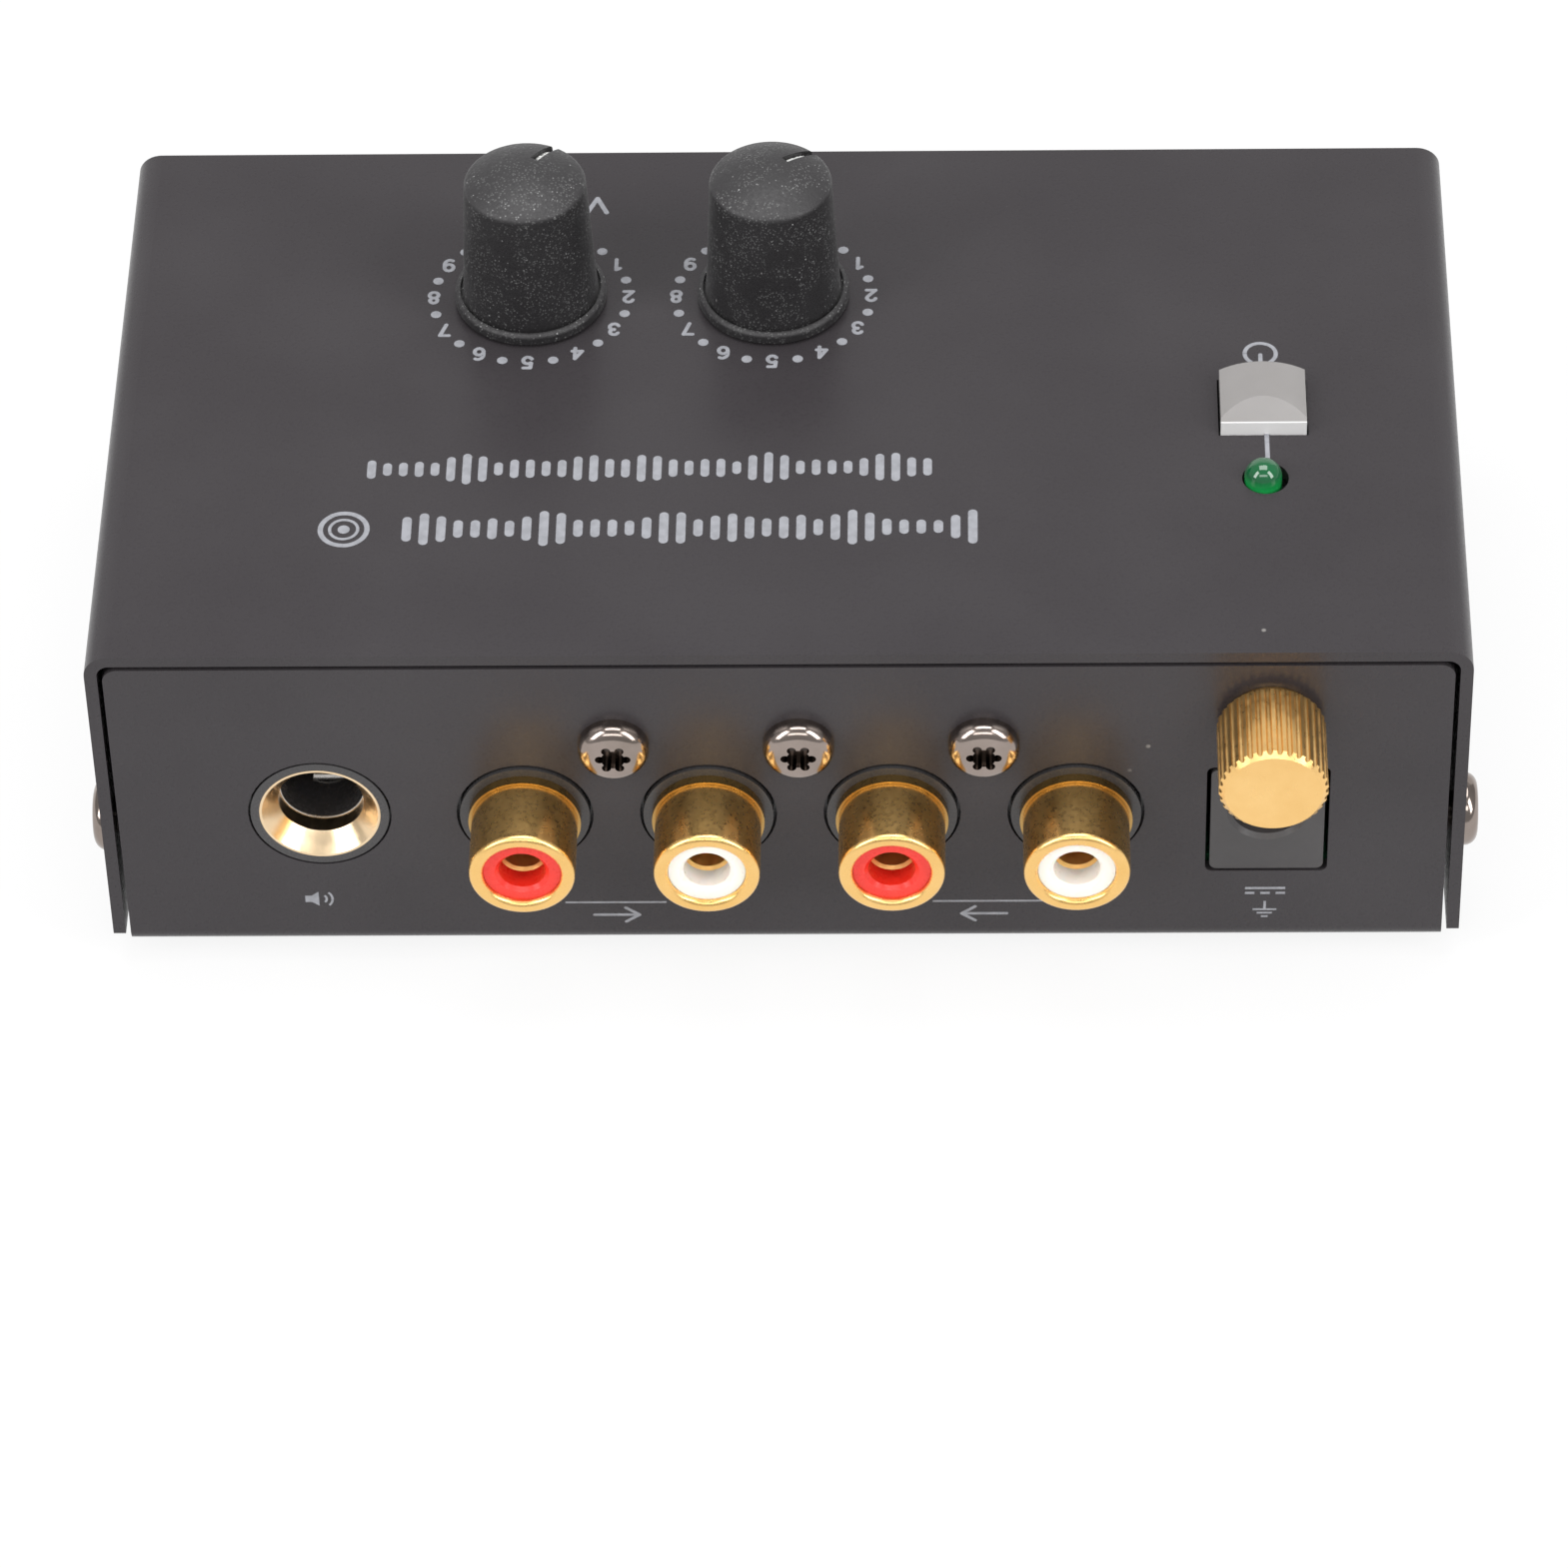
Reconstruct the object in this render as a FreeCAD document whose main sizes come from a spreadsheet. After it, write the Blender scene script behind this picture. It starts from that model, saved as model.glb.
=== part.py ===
# Phono preamp: a small sheet-metal box with two knobs, a push button and a lamp on top,
# and four phono sockets, a 6.35 mm jack, a power inlet and a ground post in front.
# Row frame: +Z up, the socket panel faces -Y, origin on the floor under the middle of the box.
import FreeCAD, Part
import math
import os
import re
import Sketcher

App = FreeCAD
doc = App.newDocument("PhonoPreamp")

# Driving sizes in millimetres, unless the note says otherwise
SIZES = [
    ("case_width", "108", "outside width of the top cover"),
    ("case_depth", "60", "depth from socket panel to back"),
    ("case_height", "32.1", "height of the box without its feet"),
    ("wall", "1", "sheet thickness"),
    ("cover_lift", "1.3", "ends of the cover's sides above the underside"),
    ("cover_bend", "2", "outside radius of the cover's bends"),
    ("chassis_bend", "1.5", "outside radius of the chassis bends"),
    ("panel_gap", "0.4", "gap between cover and socket panel"),
    ("panel_corner", "1.2", "radius of the panel's top corners"),
    ("tab_height", "11", "height of the chassis side flanges"),
    ("tab_inset", "3", "distance of a side flange from the panels"),
    ("foot_radius", "4", "rubber foot"),
    ("foot_height", "2", "rubber foot"),
    ("foot_inset", "9", "foot centre from the box's edges"),
    ("side_screw_back", "7", "side screw from the front or back face"),
    ("side_screw_up", "7.9", "side screw above the underside"),
    ("side_head_radius", "2.95", "side screw head"),
    ("side_head_height", "1.5", "side screw head"),
    ("side_shank_radius", "1.5", "side screw thread"),
    ("side_shank_length", "3.4", "side screw thread under the head"),
    ("head_round", "0.7", "rounding of a screw head, as a share of its height"),
    ("recess_share", "0.65", "driver recess of a screw head, as a share of its height"),
    ("hub_share", "0.33", "middle of the driver recess, as a share of the head's radius"),
    ("lobe_place", "0.37", "lobe centres of a star recess, as a share of the head's radius"),
    ("lobe_share", "0.13", "lobe radius of a star recess, as a share of the head's radius"),
    ("screw_clearance", "0.05", "thread to its threaded hole"),
    ("screw_pass", "0.2", "thread to a plain hole"),
    ("standoff_radius", "2.5", "board standoff"),
    ("standoff_height", "5.7", "board standoff"),
    ("standoff_side", "6.7", "standoff centre from the case side"),
    ("standoff_front", "14", "front standoffs behind the panel face"),
    ("standoff_rear", "8", "rear standoffs from the back face"),
    ("board_thick", "1.6", "circuit board"),
    ("board_side_gap", "4.2", "board edge from the case side"),
    ("board_front_gap", "1.6", "board edge from the panel face"),
    ("board_rear_gap", "2.6", "board edge from the back face"),
    ("board_shank_radius", "1.2", "board screw thread"),
    ("board_shank_length", "5", "board screw thread"),
    ("board_head_radius", "2.3", "board screw head"),
    ("board_head_height", "1.5", "board screw head"),
    ("phono_after_jack", "16.26", "centre of the first phono socket from the jack's centre"),
    ("phono_to_column", "15.12", "centre of the last phono socket from the power inlet's centre"),
    ("phono_up", "14.72", "phono socket axis above the underside"),
    ("phono_hole_radius", "5.42", "panel hole round a phono socket"),
    ("collar_radius", "5.15", "black collar in the panel hole"),
    ("collar_proud", "0.2", "collar in front of the panel"),
    ("shell_radius", "4.2", "gold phono shell outside"),
    ("shell_bore", "3.05", "gold phono shell inside"),
    ("shell_reach", "7", "phono shell in front of the panel"),
    ("shell_ring", "0.25", "step of the ring at the shell's root"),
    ("shell_ring_length", "0.8", "length of that ring"),
    ("shell_inside", "7", "phono shell behind the panel face"),
    ("shell_rim", "0.5", "rounding of the shell's rim"),
    ("press_gap", "0.02", "clearance between pressed round pieces"),
    ("insulator_recess", "0.5", "insulator behind the shell's rim"),
    ("contact_radius", "2.1", "phono centre contact outside"),
    ("contact_bore", "1.65", "phono centre contact inside"),
    ("contact_recess", "2", "contact behind the insulator's face"),
    ("insulator_mouth", "1.85", "radius of the insulator's opening"),
    ("insulator_bevel", "0.3", "bevel of the insulator's opening"),
    ("contact_bevel", "0.27", "bevel of the contact's bore"),
    ("contact_depth", "8", "depth of the contact's bore"),
    ("phono_block_side", "7", "phono block past the outer sockets"),
    ("phono_block_height", "17", "phono block above the board"),
    ("phono_block_depth", "11", "phono block behind the panel"),
    ("panel_screw_up", "22.4", "panel screws above the underside"),
    ("panel_head_radius", "2.8", "panel screw head"),
    ("panel_head_height", "1.7", "panel screw head"),
    ("panel_shank_radius", "1.4", "panel screw thread"),
    ("panel_shank_length", "7", "panel screw thread"),
    ("jack_side", "17.46", "6.35 mm jack centre from the case side"),
    ("jack_up", "14.85", "6.35 mm jack axis above the underside"),
    ("jack_nose_radius", "5.5", "black nose ring of the jack"),
    ("jack_nose_gap", "0.18", "nose ring to panel hole"),
    ("ferrule_radius", "4.8", "gold ferrule outside"),
    ("ferrule_mouth", "4.6", "gold ferrule's mouth radius"),
    ("ferrule_bore", "3.4", "gold ferrule bore, for a 6.35 mm plug"),
    ("ferrule_funnel", "1.5", "depth of the ferrule's funnel"),
    ("ferrule_length", "3", "gold ferrule"),
    ("jack_throat", "9", "depth of the close-fitting bore behind the panel"),
    ("jack_bore", "3.7", "plug cavity behind the ferrule"),
    ("jack_cavity", "27.5", "depth of the plug cavity"),
    ("jack_block_width", "15.6", "jack housing"),
    ("jack_block_height", "13.2", "jack housing above the board"),
    ("jack_block_depth", "29", "jack housing behind the panel"),
    ("spring_width", "2.4", "contact spring strip"),
    ("spring_thick", "0.4", "contact spring strip"),
    ("spring_slot", "3", "slot in the jack housing for the springs"),
    ("spring_dip", "2.95", "nearest point of a spring to the jack axis"),
    ("ring_spring_back", "11", "start of the ring spring behind the panel"),
    ("tip_spring_back", "19", "start of the tip spring behind the panel"),
    ("spring_run", "6.5", "length of a contact spring"),
    ("spring_low", "3.9", "start of a spring to its nearest point"),
    ("spring_nose", "0.48", "height of the bent strip at its nearest point"),
    ("spring_rise", "2", "spring's shoulder above its nearest point"),
    ("spring_flare", "1.2", "spring's free end above its nearest point"),
    ("slot_margin", "1", "spring slot past the springs and the roof"),
    ("column_side", "15.6", "line of lamp, button, inlet and ground post from the case side"),
    ("inlet_width", "9", "power inlet body"),
    ("inlet_height", "11", "power inlet body"),
    ("inlet_depth", "14", "power inlet body"),
    ("inlet_cut_side", "0.35", "inlet to its panel cut-out at the sides"),
    ("inlet_cut_top", "0.3", "inlet to its panel cut-out above and below"),
    ("inlet_corner", "0.6", "rounded corners of the inlet body and its cut-out"),
    ("inlet_axis_up", "6.5", "inlet hole above the board"),
    ("inlet_bore", "2.9", "inlet hole radius"),
    ("inlet_bore_depth", "9.5", "inlet hole depth"),
    ("inlet_pin_radius", "1.05", "inlet centre pin"),
    ("inlet_pin_recess", "1", "pin tip behind the inlet's face"),
    ("inlet_pin_round", "0.63", "rounding of the pin's tip"),
    ("inlet_spring_width", "1.6", "inlet contact strip"),
    ("inlet_spring_thick", "0.4", "inlet contact strip"),
    ("inlet_spring_length", "5.5", "inlet contact strip"),
    ("inlet_spring_inset", "0.15", "inlet contact strip outside the socket's wall"),
    ("inlet_spring_gap", "0.1", "inlet contact strip to its groove"),
    ("inlet_mouth", "0.35", "chamfer of the inlet hole"),
    ("ground_up", "24.9", "ground post axis above the underside"),
    ("stud_radius", "1.5", "ground post thread"),
    ("stud_inside", "6", "ground post behind the panel face"),
    ("stud_bevel", "0.375", "bevel of the ground post's end"),
    ("thread_gap", "0.06", "radial thread clearance of the thumb nut"),
    ("nut_radius", "4.25", "knurled thumb nut"),
    ("nut_length", "7.5", "knurled thumb nut"),
    ("nut_cap", "1.2", "closed face of the thumb nut"),
    ("nut_bevel", "0.45", "bevel of the nut's closed face"),
    ("nut_flutes", "34", "number of flutes of the knurl"),
    ("flute_radius", "0.24", "flute of the knurl"),
    ("washer_radius", "3.6", "ground washer"),
    ("washer_thick", "0.6", "ground washer"),
    ("washer_gap", "0.05", "washer to the panel and to the nut"),
    ("stud_recess", "0.7", "room in the nut past the post's end"),
    ("hex_flat", "2.75", "inner hexagon nut, half across flats"),
    ("hex_thick", "2.2", "inner hexagon nut"),
    ("lug_radius", "3.2", "ground lug eye"),
    ("lug_thick", "0.5", "ground lug"),
    ("lug_reach", "7.6", "ground lug tail from the post"),
    ("lug_tail_half", "1.1", "half width of the lug's tail"),
    ("wire_radius", "0.7", "ground wire"),
    ("wire_bend", "3", "ground wire bend"),
    ("wire_straight", "1", "ground wire before its bend"),
    ("lamp_back", "19.9", "lamp centre behind the panel face"),
    ("lamp_radius", "1.5", "lamp lens"),
    ("lamp_hole_gap", "0.35", "lens to its hole, when centred"),
    ("lamp_shift", "0.18", "lamp off the middle of its hole, towards -X"),
    ("lamp_shoulder", "0.2", "lens shoulder above the cover"),
    ("lamp_length", "3.8", "lens length below its shoulder"),
    ("lamp_flange_radius", "1.95", "lens flange"),
    ("lamp_flange_thick", "0.9", "lens flange"),
    ("spacer_radius", "2.4", "lamp spacer outside"),
    ("spacer_bore", "1.2", "lamp spacer inside"),
    ("lead_radius", "0.25", "lamp lead"),
    ("lead_pitch", "1.27", "lamp lead spacing"),
    ("button_back", "28.2", "button centre behind the panel face"),
    ("button_width", "6.85", "button cap across"),
    ("button_length", "6.3", "button cap front to back"),
    ("button_gap", "0.15", "button to its slot"),
    ("button_crown", "2.3", "button top above the cover"),
    ("button_shoulder", "1.4", "button edge above the cover"),
    ("button_lip", "1.2", "low front lip above the cover"),
    ("button_ramp", "2", "length of the sloping front"),
    ("button_skirt", "6", "button cap below the cover's top"),
    ("button_socket", "3", "depth of the socket for the plunger"),
    ("button_travel", "2", "stroke of the button"),
    ("button_round", "0.3", "rounding of the button's edges"),
    ("switch_side", "8.2", "switch body"),
    ("switch_height", "12", "switch body"),
    ("switch_floor", "1.2", "floor under the switch cavity"),
    ("plunger_side", "4", "switch plunger"),
    ("plunger_gap", "0.06", "plunger to its guide"),
    ("return_height", "4", "return spring at rest"),
    ("return_radius", "1.6", "return spring outside"),
    ("return_wire", "0.4", "return spring wire"),
    ("knob_back", "41.95", "knob axes behind the panel face"),
    ("level_side", "33.38", "level knob's axis from the case side"),
    ("knob_pitch", "19.73", "spacing of the two knobs"),
    ("knob_lift", "0.3", "knob skirt above the cover"),
    ("skirt_radius", "6.15", "knob skirt"),
    ("skirt_height", "0.9", "knob skirt"),
    ("skirt_round", "0.405", "rounding of the skirt's edge"),
    ("knob_groove", "0.22", "width of the groove inside the skirt"),
    ("knob_groove_depth", "0.5", "depth of that groove"),
    ("knob_foot_radius", "5.5", "knob body at its foot"),
    ("knob_top_radius", "4.92", "knob body at its shoulder"),
    ("knob_shoulder", "12.3", "knob shoulder above the cover"),
    ("knob_crown", "1.4", "crown of the knob above its shoulder"),
    ("knob_round", "0.6", "rounding of the knob's shoulder"),
    ("knob_recess_radius", "4.6", "recess under the knob"),
    ("knob_recess_depth", "1.2", "recess under the knob"),
    ("pointer_width", "0.7", "pointer groove"),
    ("pointer_depth", "0.9", "pointer groove below the shoulder"),
    ("pointer_start", "1.6", "pointer groove from the knob axis"),
    ("level_angle", "29", "level pointer, degrees from the back towards +X"),
    ("volume_angle", "46", "volume pointer, degrees from the back towards +X"),
    ("shaft_radius", "3", "control shaft"),
    ("shaft_in_knob", "8.5", "control shaft above the cover"),
    ("shaft_in_pot", "3", "control shaft inside the control's case"),
    ("shaft_gap", "0.05", "shaft in its bushing"),
    ("shaft_end_gap", "0.3", "shaft above the floor of its case"),
    ("bushing_radius", "3.6", "control bushing"),
    ("bushing_length", "12", "control bushing"),
    ("shaft_hole_gap", "0.9", "bushing radius to the hole in the cover"),
    ("pot_width", "9.8", "control case"),
    ("pot_length", "11.2", "control case"),
    ("pot_height", "7.6", "control case"),
    ("chip_length", "9.4", "amplifier chip"),
    ("chip_width", "6.3", "amplifier chip"),
    ("chip_height", "3.3", "amplifier chip"),
    ("chip_lift", "0.5", "chip above the board"),
    ("chip_pin_top", "2.15", "top of the chip's pins above the board"),
    ("chip_pin_pitch", "2.54", "chip pin spacing"),
    ("chip_pin_side", "0.5", "chip pin width"),
    ("chip_pin_reach", "0.7", "chip pin past the chip's side"),
    ("chip_back", "23", "chips behind the panel face"),
    ("chip_share", "0.111", "first chip left of the middle, as a share of the case width"),
    ("chip_pitch", "16", "chip spacing"),
    ("can_radius", "3.15", "electrolytic capacitor"),
    ("can_height", "11", "electrolytic capacitor"),
    ("can_share", "0.139", "first electrolytic right of the middle, as a share of the case width"),
    ("can_pitch", "8.2", "electrolytic spacing"),
    ("can_crimp", "0.3", "depth and slope of the crimp round a can"),
    ("can_crimp_up", "1", "crimp above the board"),
    ("can_crimp_band", "0.4", "flat of the crimp"),
    ("can_round", "0.5", "rounding of a can's top"),
    ("can_back", "21", "first row of electrolytics behind the panel face"),
    ("film_length", "7.2", "film capacitor"),
    ("film_width", "2.6", "film capacitor"),
    ("film_height", "6.5", "film capacitor"),
    ("film_after_jack", "11.54", "film capacitors from the jack's centre"),
    ("film_back", "18", "first row of film capacitors behind the panel face"),
    ("film_pitch", "4.6", "film capacitor spacing"),
    ("resistor_radius", "1.15", "resistor body"),
    ("resistor_length", "6.2", "resistor body"),
    ("resistor_span", "9", "resistor lead spacing"),
    ("resistor_wire", "0.3", "resistor lead"),
    ("resistor_lift", "0.2", "resistor above the board"),
    ("resistor_after_knob", "11.89", "first resistor from the volume knob's axis"),
    ("resistor_pitch", "3.6", "resistor spacing"),
    ("resistor_back", "48", "resistors behind the panel face"),
    ("regulator_inset", "7.8", "voltage regulator from the board's side edge"),
    ("regulator_back", "44", "voltage regulator behind the panel face"),
    ("regulator_width", "10", "voltage regulator"),
    ("regulator_thick", "4.4", "voltage regulator"),
    ("regulator_height", "9", "voltage regulator body"),
    ("regulator_leg", "3.5", "free height under the regulator's body"),
    ("regulator_leg_length", "3.85", "voltage regulator leg"),
    ("regulator_tab", "6", "metal tab above the regulator's body"),
    ("regulator_tab_thick", "1.3", "metal tab"),
    ("regulator_leg_width", "0.8", "voltage regulator leg"),
    ("regulator_leg_thick", "0.5", "voltage regulator leg"),
    ("regulator_leg_pitch", "2.54", "spacing of the regulator's legs"),
    ("diode_back", "18.5", "protection diode behind the panel face"),
    ("diode_gap", "3.2", "protection diode beside the lamp spacer"),
    ("diode_length", "4.96", "protection diode"),
]

# Places worked out from the sizes: x across, y from the front, z from the floor
PLACES = {
    "case_bottom": "foot_height",
    "case_top": "case_bottom + case_height",
    "nut_face": "washer_gap + washer_thick + washer_gap + nut_length",
    "front_face": "-(case_depth - nut_face)/2",
    "back_face": "front_face + case_depth",
    "panel_half": "case_width/2 - wall - panel_gap",
    "panel_top": "case_height - wall - panel_gap",
    "standoff_half": "case_width/2 - standoff_side",
    "standoff_near": "front_face + standoff_front",
    "standoff_far": "back_face - standoff_rear",
    "board_under": "case_bottom + wall + standoff_height",
    "board_top": "board_under + board_thick",
    "board_front": "front_face + board_front_gap",
    "board_half": "case_width/2 - board_side_gap",
    "board_length": "case_depth - board_front_gap - board_rear_gap",
    "jack_place": "jack_side - case_width/2",
    "column_place": "case_width/2 - column_side",
    "phono_first": "jack_place + phono_after_jack",
    "phono_pitch": "(column_place - phono_to_column - phono_first)/3",
    "phono_axis": "case_bottom + phono_up",
    "jack_axis": "case_bottom + jack_up",
    "jack_floor": "board_top - jack_axis",
    "jack_roof": "jack_floor + jack_block_height",
    "inlet_axis": "board_top + inlet_axis_up",
    "ground_axis": "case_bottom + ground_up",
    "lug_face": "front_face + wall",
    "hex_face": "lug_face + lug_thick",
    "lamp_line": "front_face + lamp_back",
    "lamp_place": "column_place - lamp_shift",
    "lamp_base": "case_top + lamp_shoulder - lamp_length",
    "button_line": "front_face + button_back",
    "button_under": "case_top - button_skirt",
    "switch_cavity": "board_top + switch_floor",
    "plunger_under": "switch_cavity + return_height",
    "plunger_top": "button_under + button_socket",
    "knob_line": "front_face + knob_back",
    "level_place": "level_side - case_width/2",
    "volume_place": "level_place + knob_pitch",
    "pot_top": "board_top + pot_height",
    "shaft_under": "pot_top - shaft_in_pot",
    "chip_first": "-(chip_share*case_width)",
    "can_first": "can_share*case_width",
    "film_first": "jack_place + film_after_jack",
    "resistor_first": "volume_place + resistor_after_knob",
    "regulator_place": "regulator_inset - board_half",
    "wire_place": "column_place + lug_reach",
    "wire_front": "lug_face + lug_thick",
    "wire_turn": "wire_front + wire_straight",
}

sheet = doc.addObject("Spreadsheet::Sheet", "Sizes")
for row, (alias, number, note) in enumerate(SIZES, start=1):
    sheet.set("A%d" % row, alias)
    sheet.set("B%d" % row, number)
    sheet.set("C%d" % row, note)
    sheet.setAlias("B%d" % row, alias)
doc.recompute()
ALIASES = {alias for alias, number, note in SIZES}

TURNS = {
    "up": App.Rotation(),
    "down": App.Rotation(App.Vector(1, 0, 0), 180),
    "front": App.Rotation(App.Vector(1, 0, 0), 90),
    "back": App.Rotation(App.Vector(1, 0, 0), -90),
    "right": App.Rotation(App.Vector(0, 1, 0), 90),
    "left": App.Rotation(App.Vector(0, 1, 0), -90),
}
NODES = []


def formula(text):
    """Write size and place names as an expression on the Sizes sheet."""
    def swap(match):
        word = match.group(0)
        if word in PLACES:
            return "(" + formula(PLACES[word]) + ")"
        return "Sizes." + word if word in ALIASES else word
    return re.sub(r"[a-z][a-z_]*", swap, str(text))


def value(text):
    """The present value of a formula, in millimetres or degrees."""
    return float(sheet.evalExpression(formula(text)))


def keep(node, thing):
    """Name a finished sub-part, so that it is written to its own file."""
    thing.Label = node
    NODES.append(thing)
    return thing


def place(thing, at, turn="up"):
    thing.Placement = App.Placement(App.Vector(), TURNS[turn])
    for axis, text in zip("xyz", at):
        thing.setExpression("Placement.Base." + axis, formula(text))
    return thing


# Sketches and PartDesign features

def new_body(name, at, turn="up"):
    return place(doc.addObject("PartDesign::Body", name), at, turn)


def new_sketch(body, role, lift="0"):
    """A sketch on an origin plane of its own body, moved along the plane's normal by lift."""
    sketch = body.newObject("Sketcher::SketchObject", body.Name + "_sketch")
    plane = [f for f in body.Origin.OriginFeatures if f.Role == role][0]
    sketch.AttachmentSupport = [(plane, "")]
    sketch.MapMode = "FlatFace"
    sketch.setExpression("AttachmentOffset.Base.z", formula(lift))
    return sketch


def pin_point(sketch, geometry, point, across, along):
    """Hold one sketch point at (across, along) from the sketch origin."""
    for kind, axis, text in (("DistanceX", -2, across), ("DistanceY", -1, along)):
        number = value(text)
        if str(text) == "0":
            sketch.addConstraint(Sketcher.Constraint("PointOnObject", geometry, point, axis))
            continue
        held = sketch.addConstraint(Sketcher.Constraint(kind, -1, 1, geometry, point, number))
        sketch.setExpression("Constraints[%d]" % held, formula(text))


def outline(sketch, corners):
    """A closed outline. A corner with a third item is followed by an arc centred on x = 0."""
    spots = [App.Vector(value(c[0]), value(c[1]), 0) for c in corners]
    ends = []
    for i, corner in enumerate(corners):
        start, stop = spots[i], spots[(i + 1) % len(corners)]
        if len(corner) == 2:
            geometry = sketch.addGeometry(Part.LineSegment(start, stop), False)
            ends.append((geometry, 1, 2))
            continue
        height = (stop.x ** 2 - start.x ** 2 + stop.y ** 2 - start.y ** 2) / (2 * (stop.y - start.y)) \
            if abs(stop.y - start.y) > 1e-9 else value(corner[2])
        centre = App.Vector(0, height, 0)
        spokes = [spot - centre for spot in (start, stop)]
        angles = [App.Vector(1, 0, 0).getAngle(s) * (1 if s.y >= 0 else -1) for s in spokes]
        turn_left = (angles[1] - angles[0]) % math.tau < math.pi
        low, high = (angles if turn_left else angles[::-1])
        circle = Part.Circle(centre, App.Vector(0, 0, 1), spokes[0].Length)
        geometry = sketch.addGeometry(Part.ArcOfCircle(circle, low, high), False)
        ends.append((geometry, 1, 2) if turn_left else (geometry, 2, 1))
        if abs(stop.y - start.y) > 1e-9:
            sketch.addConstraint(Sketcher.Constraint("PointOnObject", geometry, 3, -2))
        else:
            held = sketch.addConstraint(
                Sketcher.Constraint("DistanceY", -1, 1, geometry, 3, value(corner[2])))
            sketch.setExpression("Constraints[%d]" % held, formula(corner[2]))
    for i in range(len(corners)):
        here, after = ends[i], ends[(i + 1) % len(ends)]
        sketch.addConstraint(
            Sketcher.Constraint("Coincident", here[0], here[2], after[0], after[1]))
    for (geometry, start, stop), corner in zip(ends, corners):
        pin_point(sketch, geometry, start, corner[0], corner[1])


def rectangle(sketch, left, right, low, high):
    outline(sketch, [(left, low), (right, low), (right, high), (left, high)])


def circle(sketch, across, along, radius):
    spot = App.Vector(value(across), value(along), 0)
    ring = Part.Circle(spot, App.Vector(0, 0, 1), value(radius))
    geometry = sketch.addGeometry(ring, False)
    held = sketch.addConstraint(Sketcher.Constraint("Radius", geometry, value(radius)))
    sketch.setExpression("Constraints[%d]" % held, formula(radius))
    pin_point(sketch, geometry, 3, across, along)


def pad(body, sketch, length, middle=False, reverse=False):
    feature = body.newObject("PartDesign::Pad", body.Name + "_pad")
    feature.Profile = sketch
    feature.Midplane = middle
    feature.Reversed = reverse
    feature.setExpression("Length", formula(length))
    return feature


def pocket(body, sketch, length=None, reverse=False):
    """Cut a sketch to a depth, or both ways through everything. It has to remove material."""
    doc.recompute()
    before = body.Shape.Volume
    feature = body.newObject("PartDesign::Pocket", body.Name + "_pocket")
    feature.Profile = sketch
    feature.Reversed = reverse
    if length is None:
        feature.Type = "ThroughAll"
        feature.Midplane = True
    else:
        feature.setExpression("Length", formula(length))
    doc.recompute()
    if body.Shape.Volume >= before - 1e-4:
        raise RuntimeError("a pocket of %s cuts nothing" % body.Name)
    return feature


def revolve(body, corners):
    """A turned piece: outline points are (radius, distance along the body's axis)."""
    sketch = new_sketch(body, "XZ_Plane")
    outline(sketch, corners)
    feature = body.newObject("PartDesign::Revolution", body.Name + "_turned")
    feature.Profile = sketch
    feature.ReferenceAxis = (sketch, ["V_Axis"])
    feature.Angle = 360
    return feature


def soften(body, kind, size, chosen):
    """Fillet or Chamfer the edges that a test picks."""
    doc.recompute()
    base = body.Tip
    names = ["Edge%d" % n for n, edge in enumerate(base.Shape.Edges, start=1) if chosen(edge)]
    if not names:
        raise RuntimeError("no edge of %s to soften" % body.Name)
    feature = body.newObject("PartDesign::" + kind, body.Name + "_edge")
    feature.Base = (base, names)
    feature.setExpression("Radius" if kind == "Fillet" else "Size", formula(size))
    return feature


def ring_edge(radius, along):
    """Test for a full circle of a given radius at a given distance along the axis."""
    wanted, level = value(radius), value(along)

    def chosen(edge):
        box = edge.BoundBox
        flat = box.ZLength < 1e-4 and abs(box.ZMin - level) < 1e-4
        return flat and abs(box.XLength - 2 * wanted) < 1e-3
    return chosen


def straight_edge(along, spot):
    """Test for straight edges along one axis whose other coordinates are among the spots."""
    def chosen(edge):
        box = edge.BoundBox
        middle = dict(zip("xyz", (box.Center.x, box.Center.y, box.Center.z)))
        spans = dict(zip("xyz", (box.XLength, box.YLength, box.ZLength)))
        others = [axis for axis in "xyz" if axis != along]
        if spans[along] < 0.2 or max(spans[axis] for axis in others) > 1e-4:
            return False
        return any(all(abs(middle[axis] - value(s[axis])) < 1e-3 for axis in s) for s in spot)
    return chosen


# Plain solids

def box(name, size, at):
    solid = doc.addObject("Part::Box", name)
    for side, text in zip(("Length", "Width", "Height"), size):
        solid.setExpression(side, formula(text))
    return place(solid, at)


def rod(name, radius, length, at, turn="up"):
    solid = doc.addObject("Part::Cylinder", name)
    solid.setExpression("Radius", formula(radius))
    solid.setExpression("Height", formula(length))
    return place(solid, at, turn)


def cut(name, base, tool):
    solid = doc.addObject("Part::Cut", name)
    solid.Base = base
    solid.Tool = tool
    return solid


def fuse(name, pieces):
    solid = doc.addObject("Part::MultiFuse", name)
    solid.Shapes = pieces
    return solid


def group(name, pieces):
    """Identical separate solids that share one node."""
    solid = doc.addObject("Part::Compound", name)
    solid.Links = pieces
    return solid


def tube(name, radius, bore, length, at, turn="up"):
    return cut(name, rod(name + "_outside", radius, length, at, turn),
               rod(name + "_bore", bore, length, at, turn))


# Casing

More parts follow.
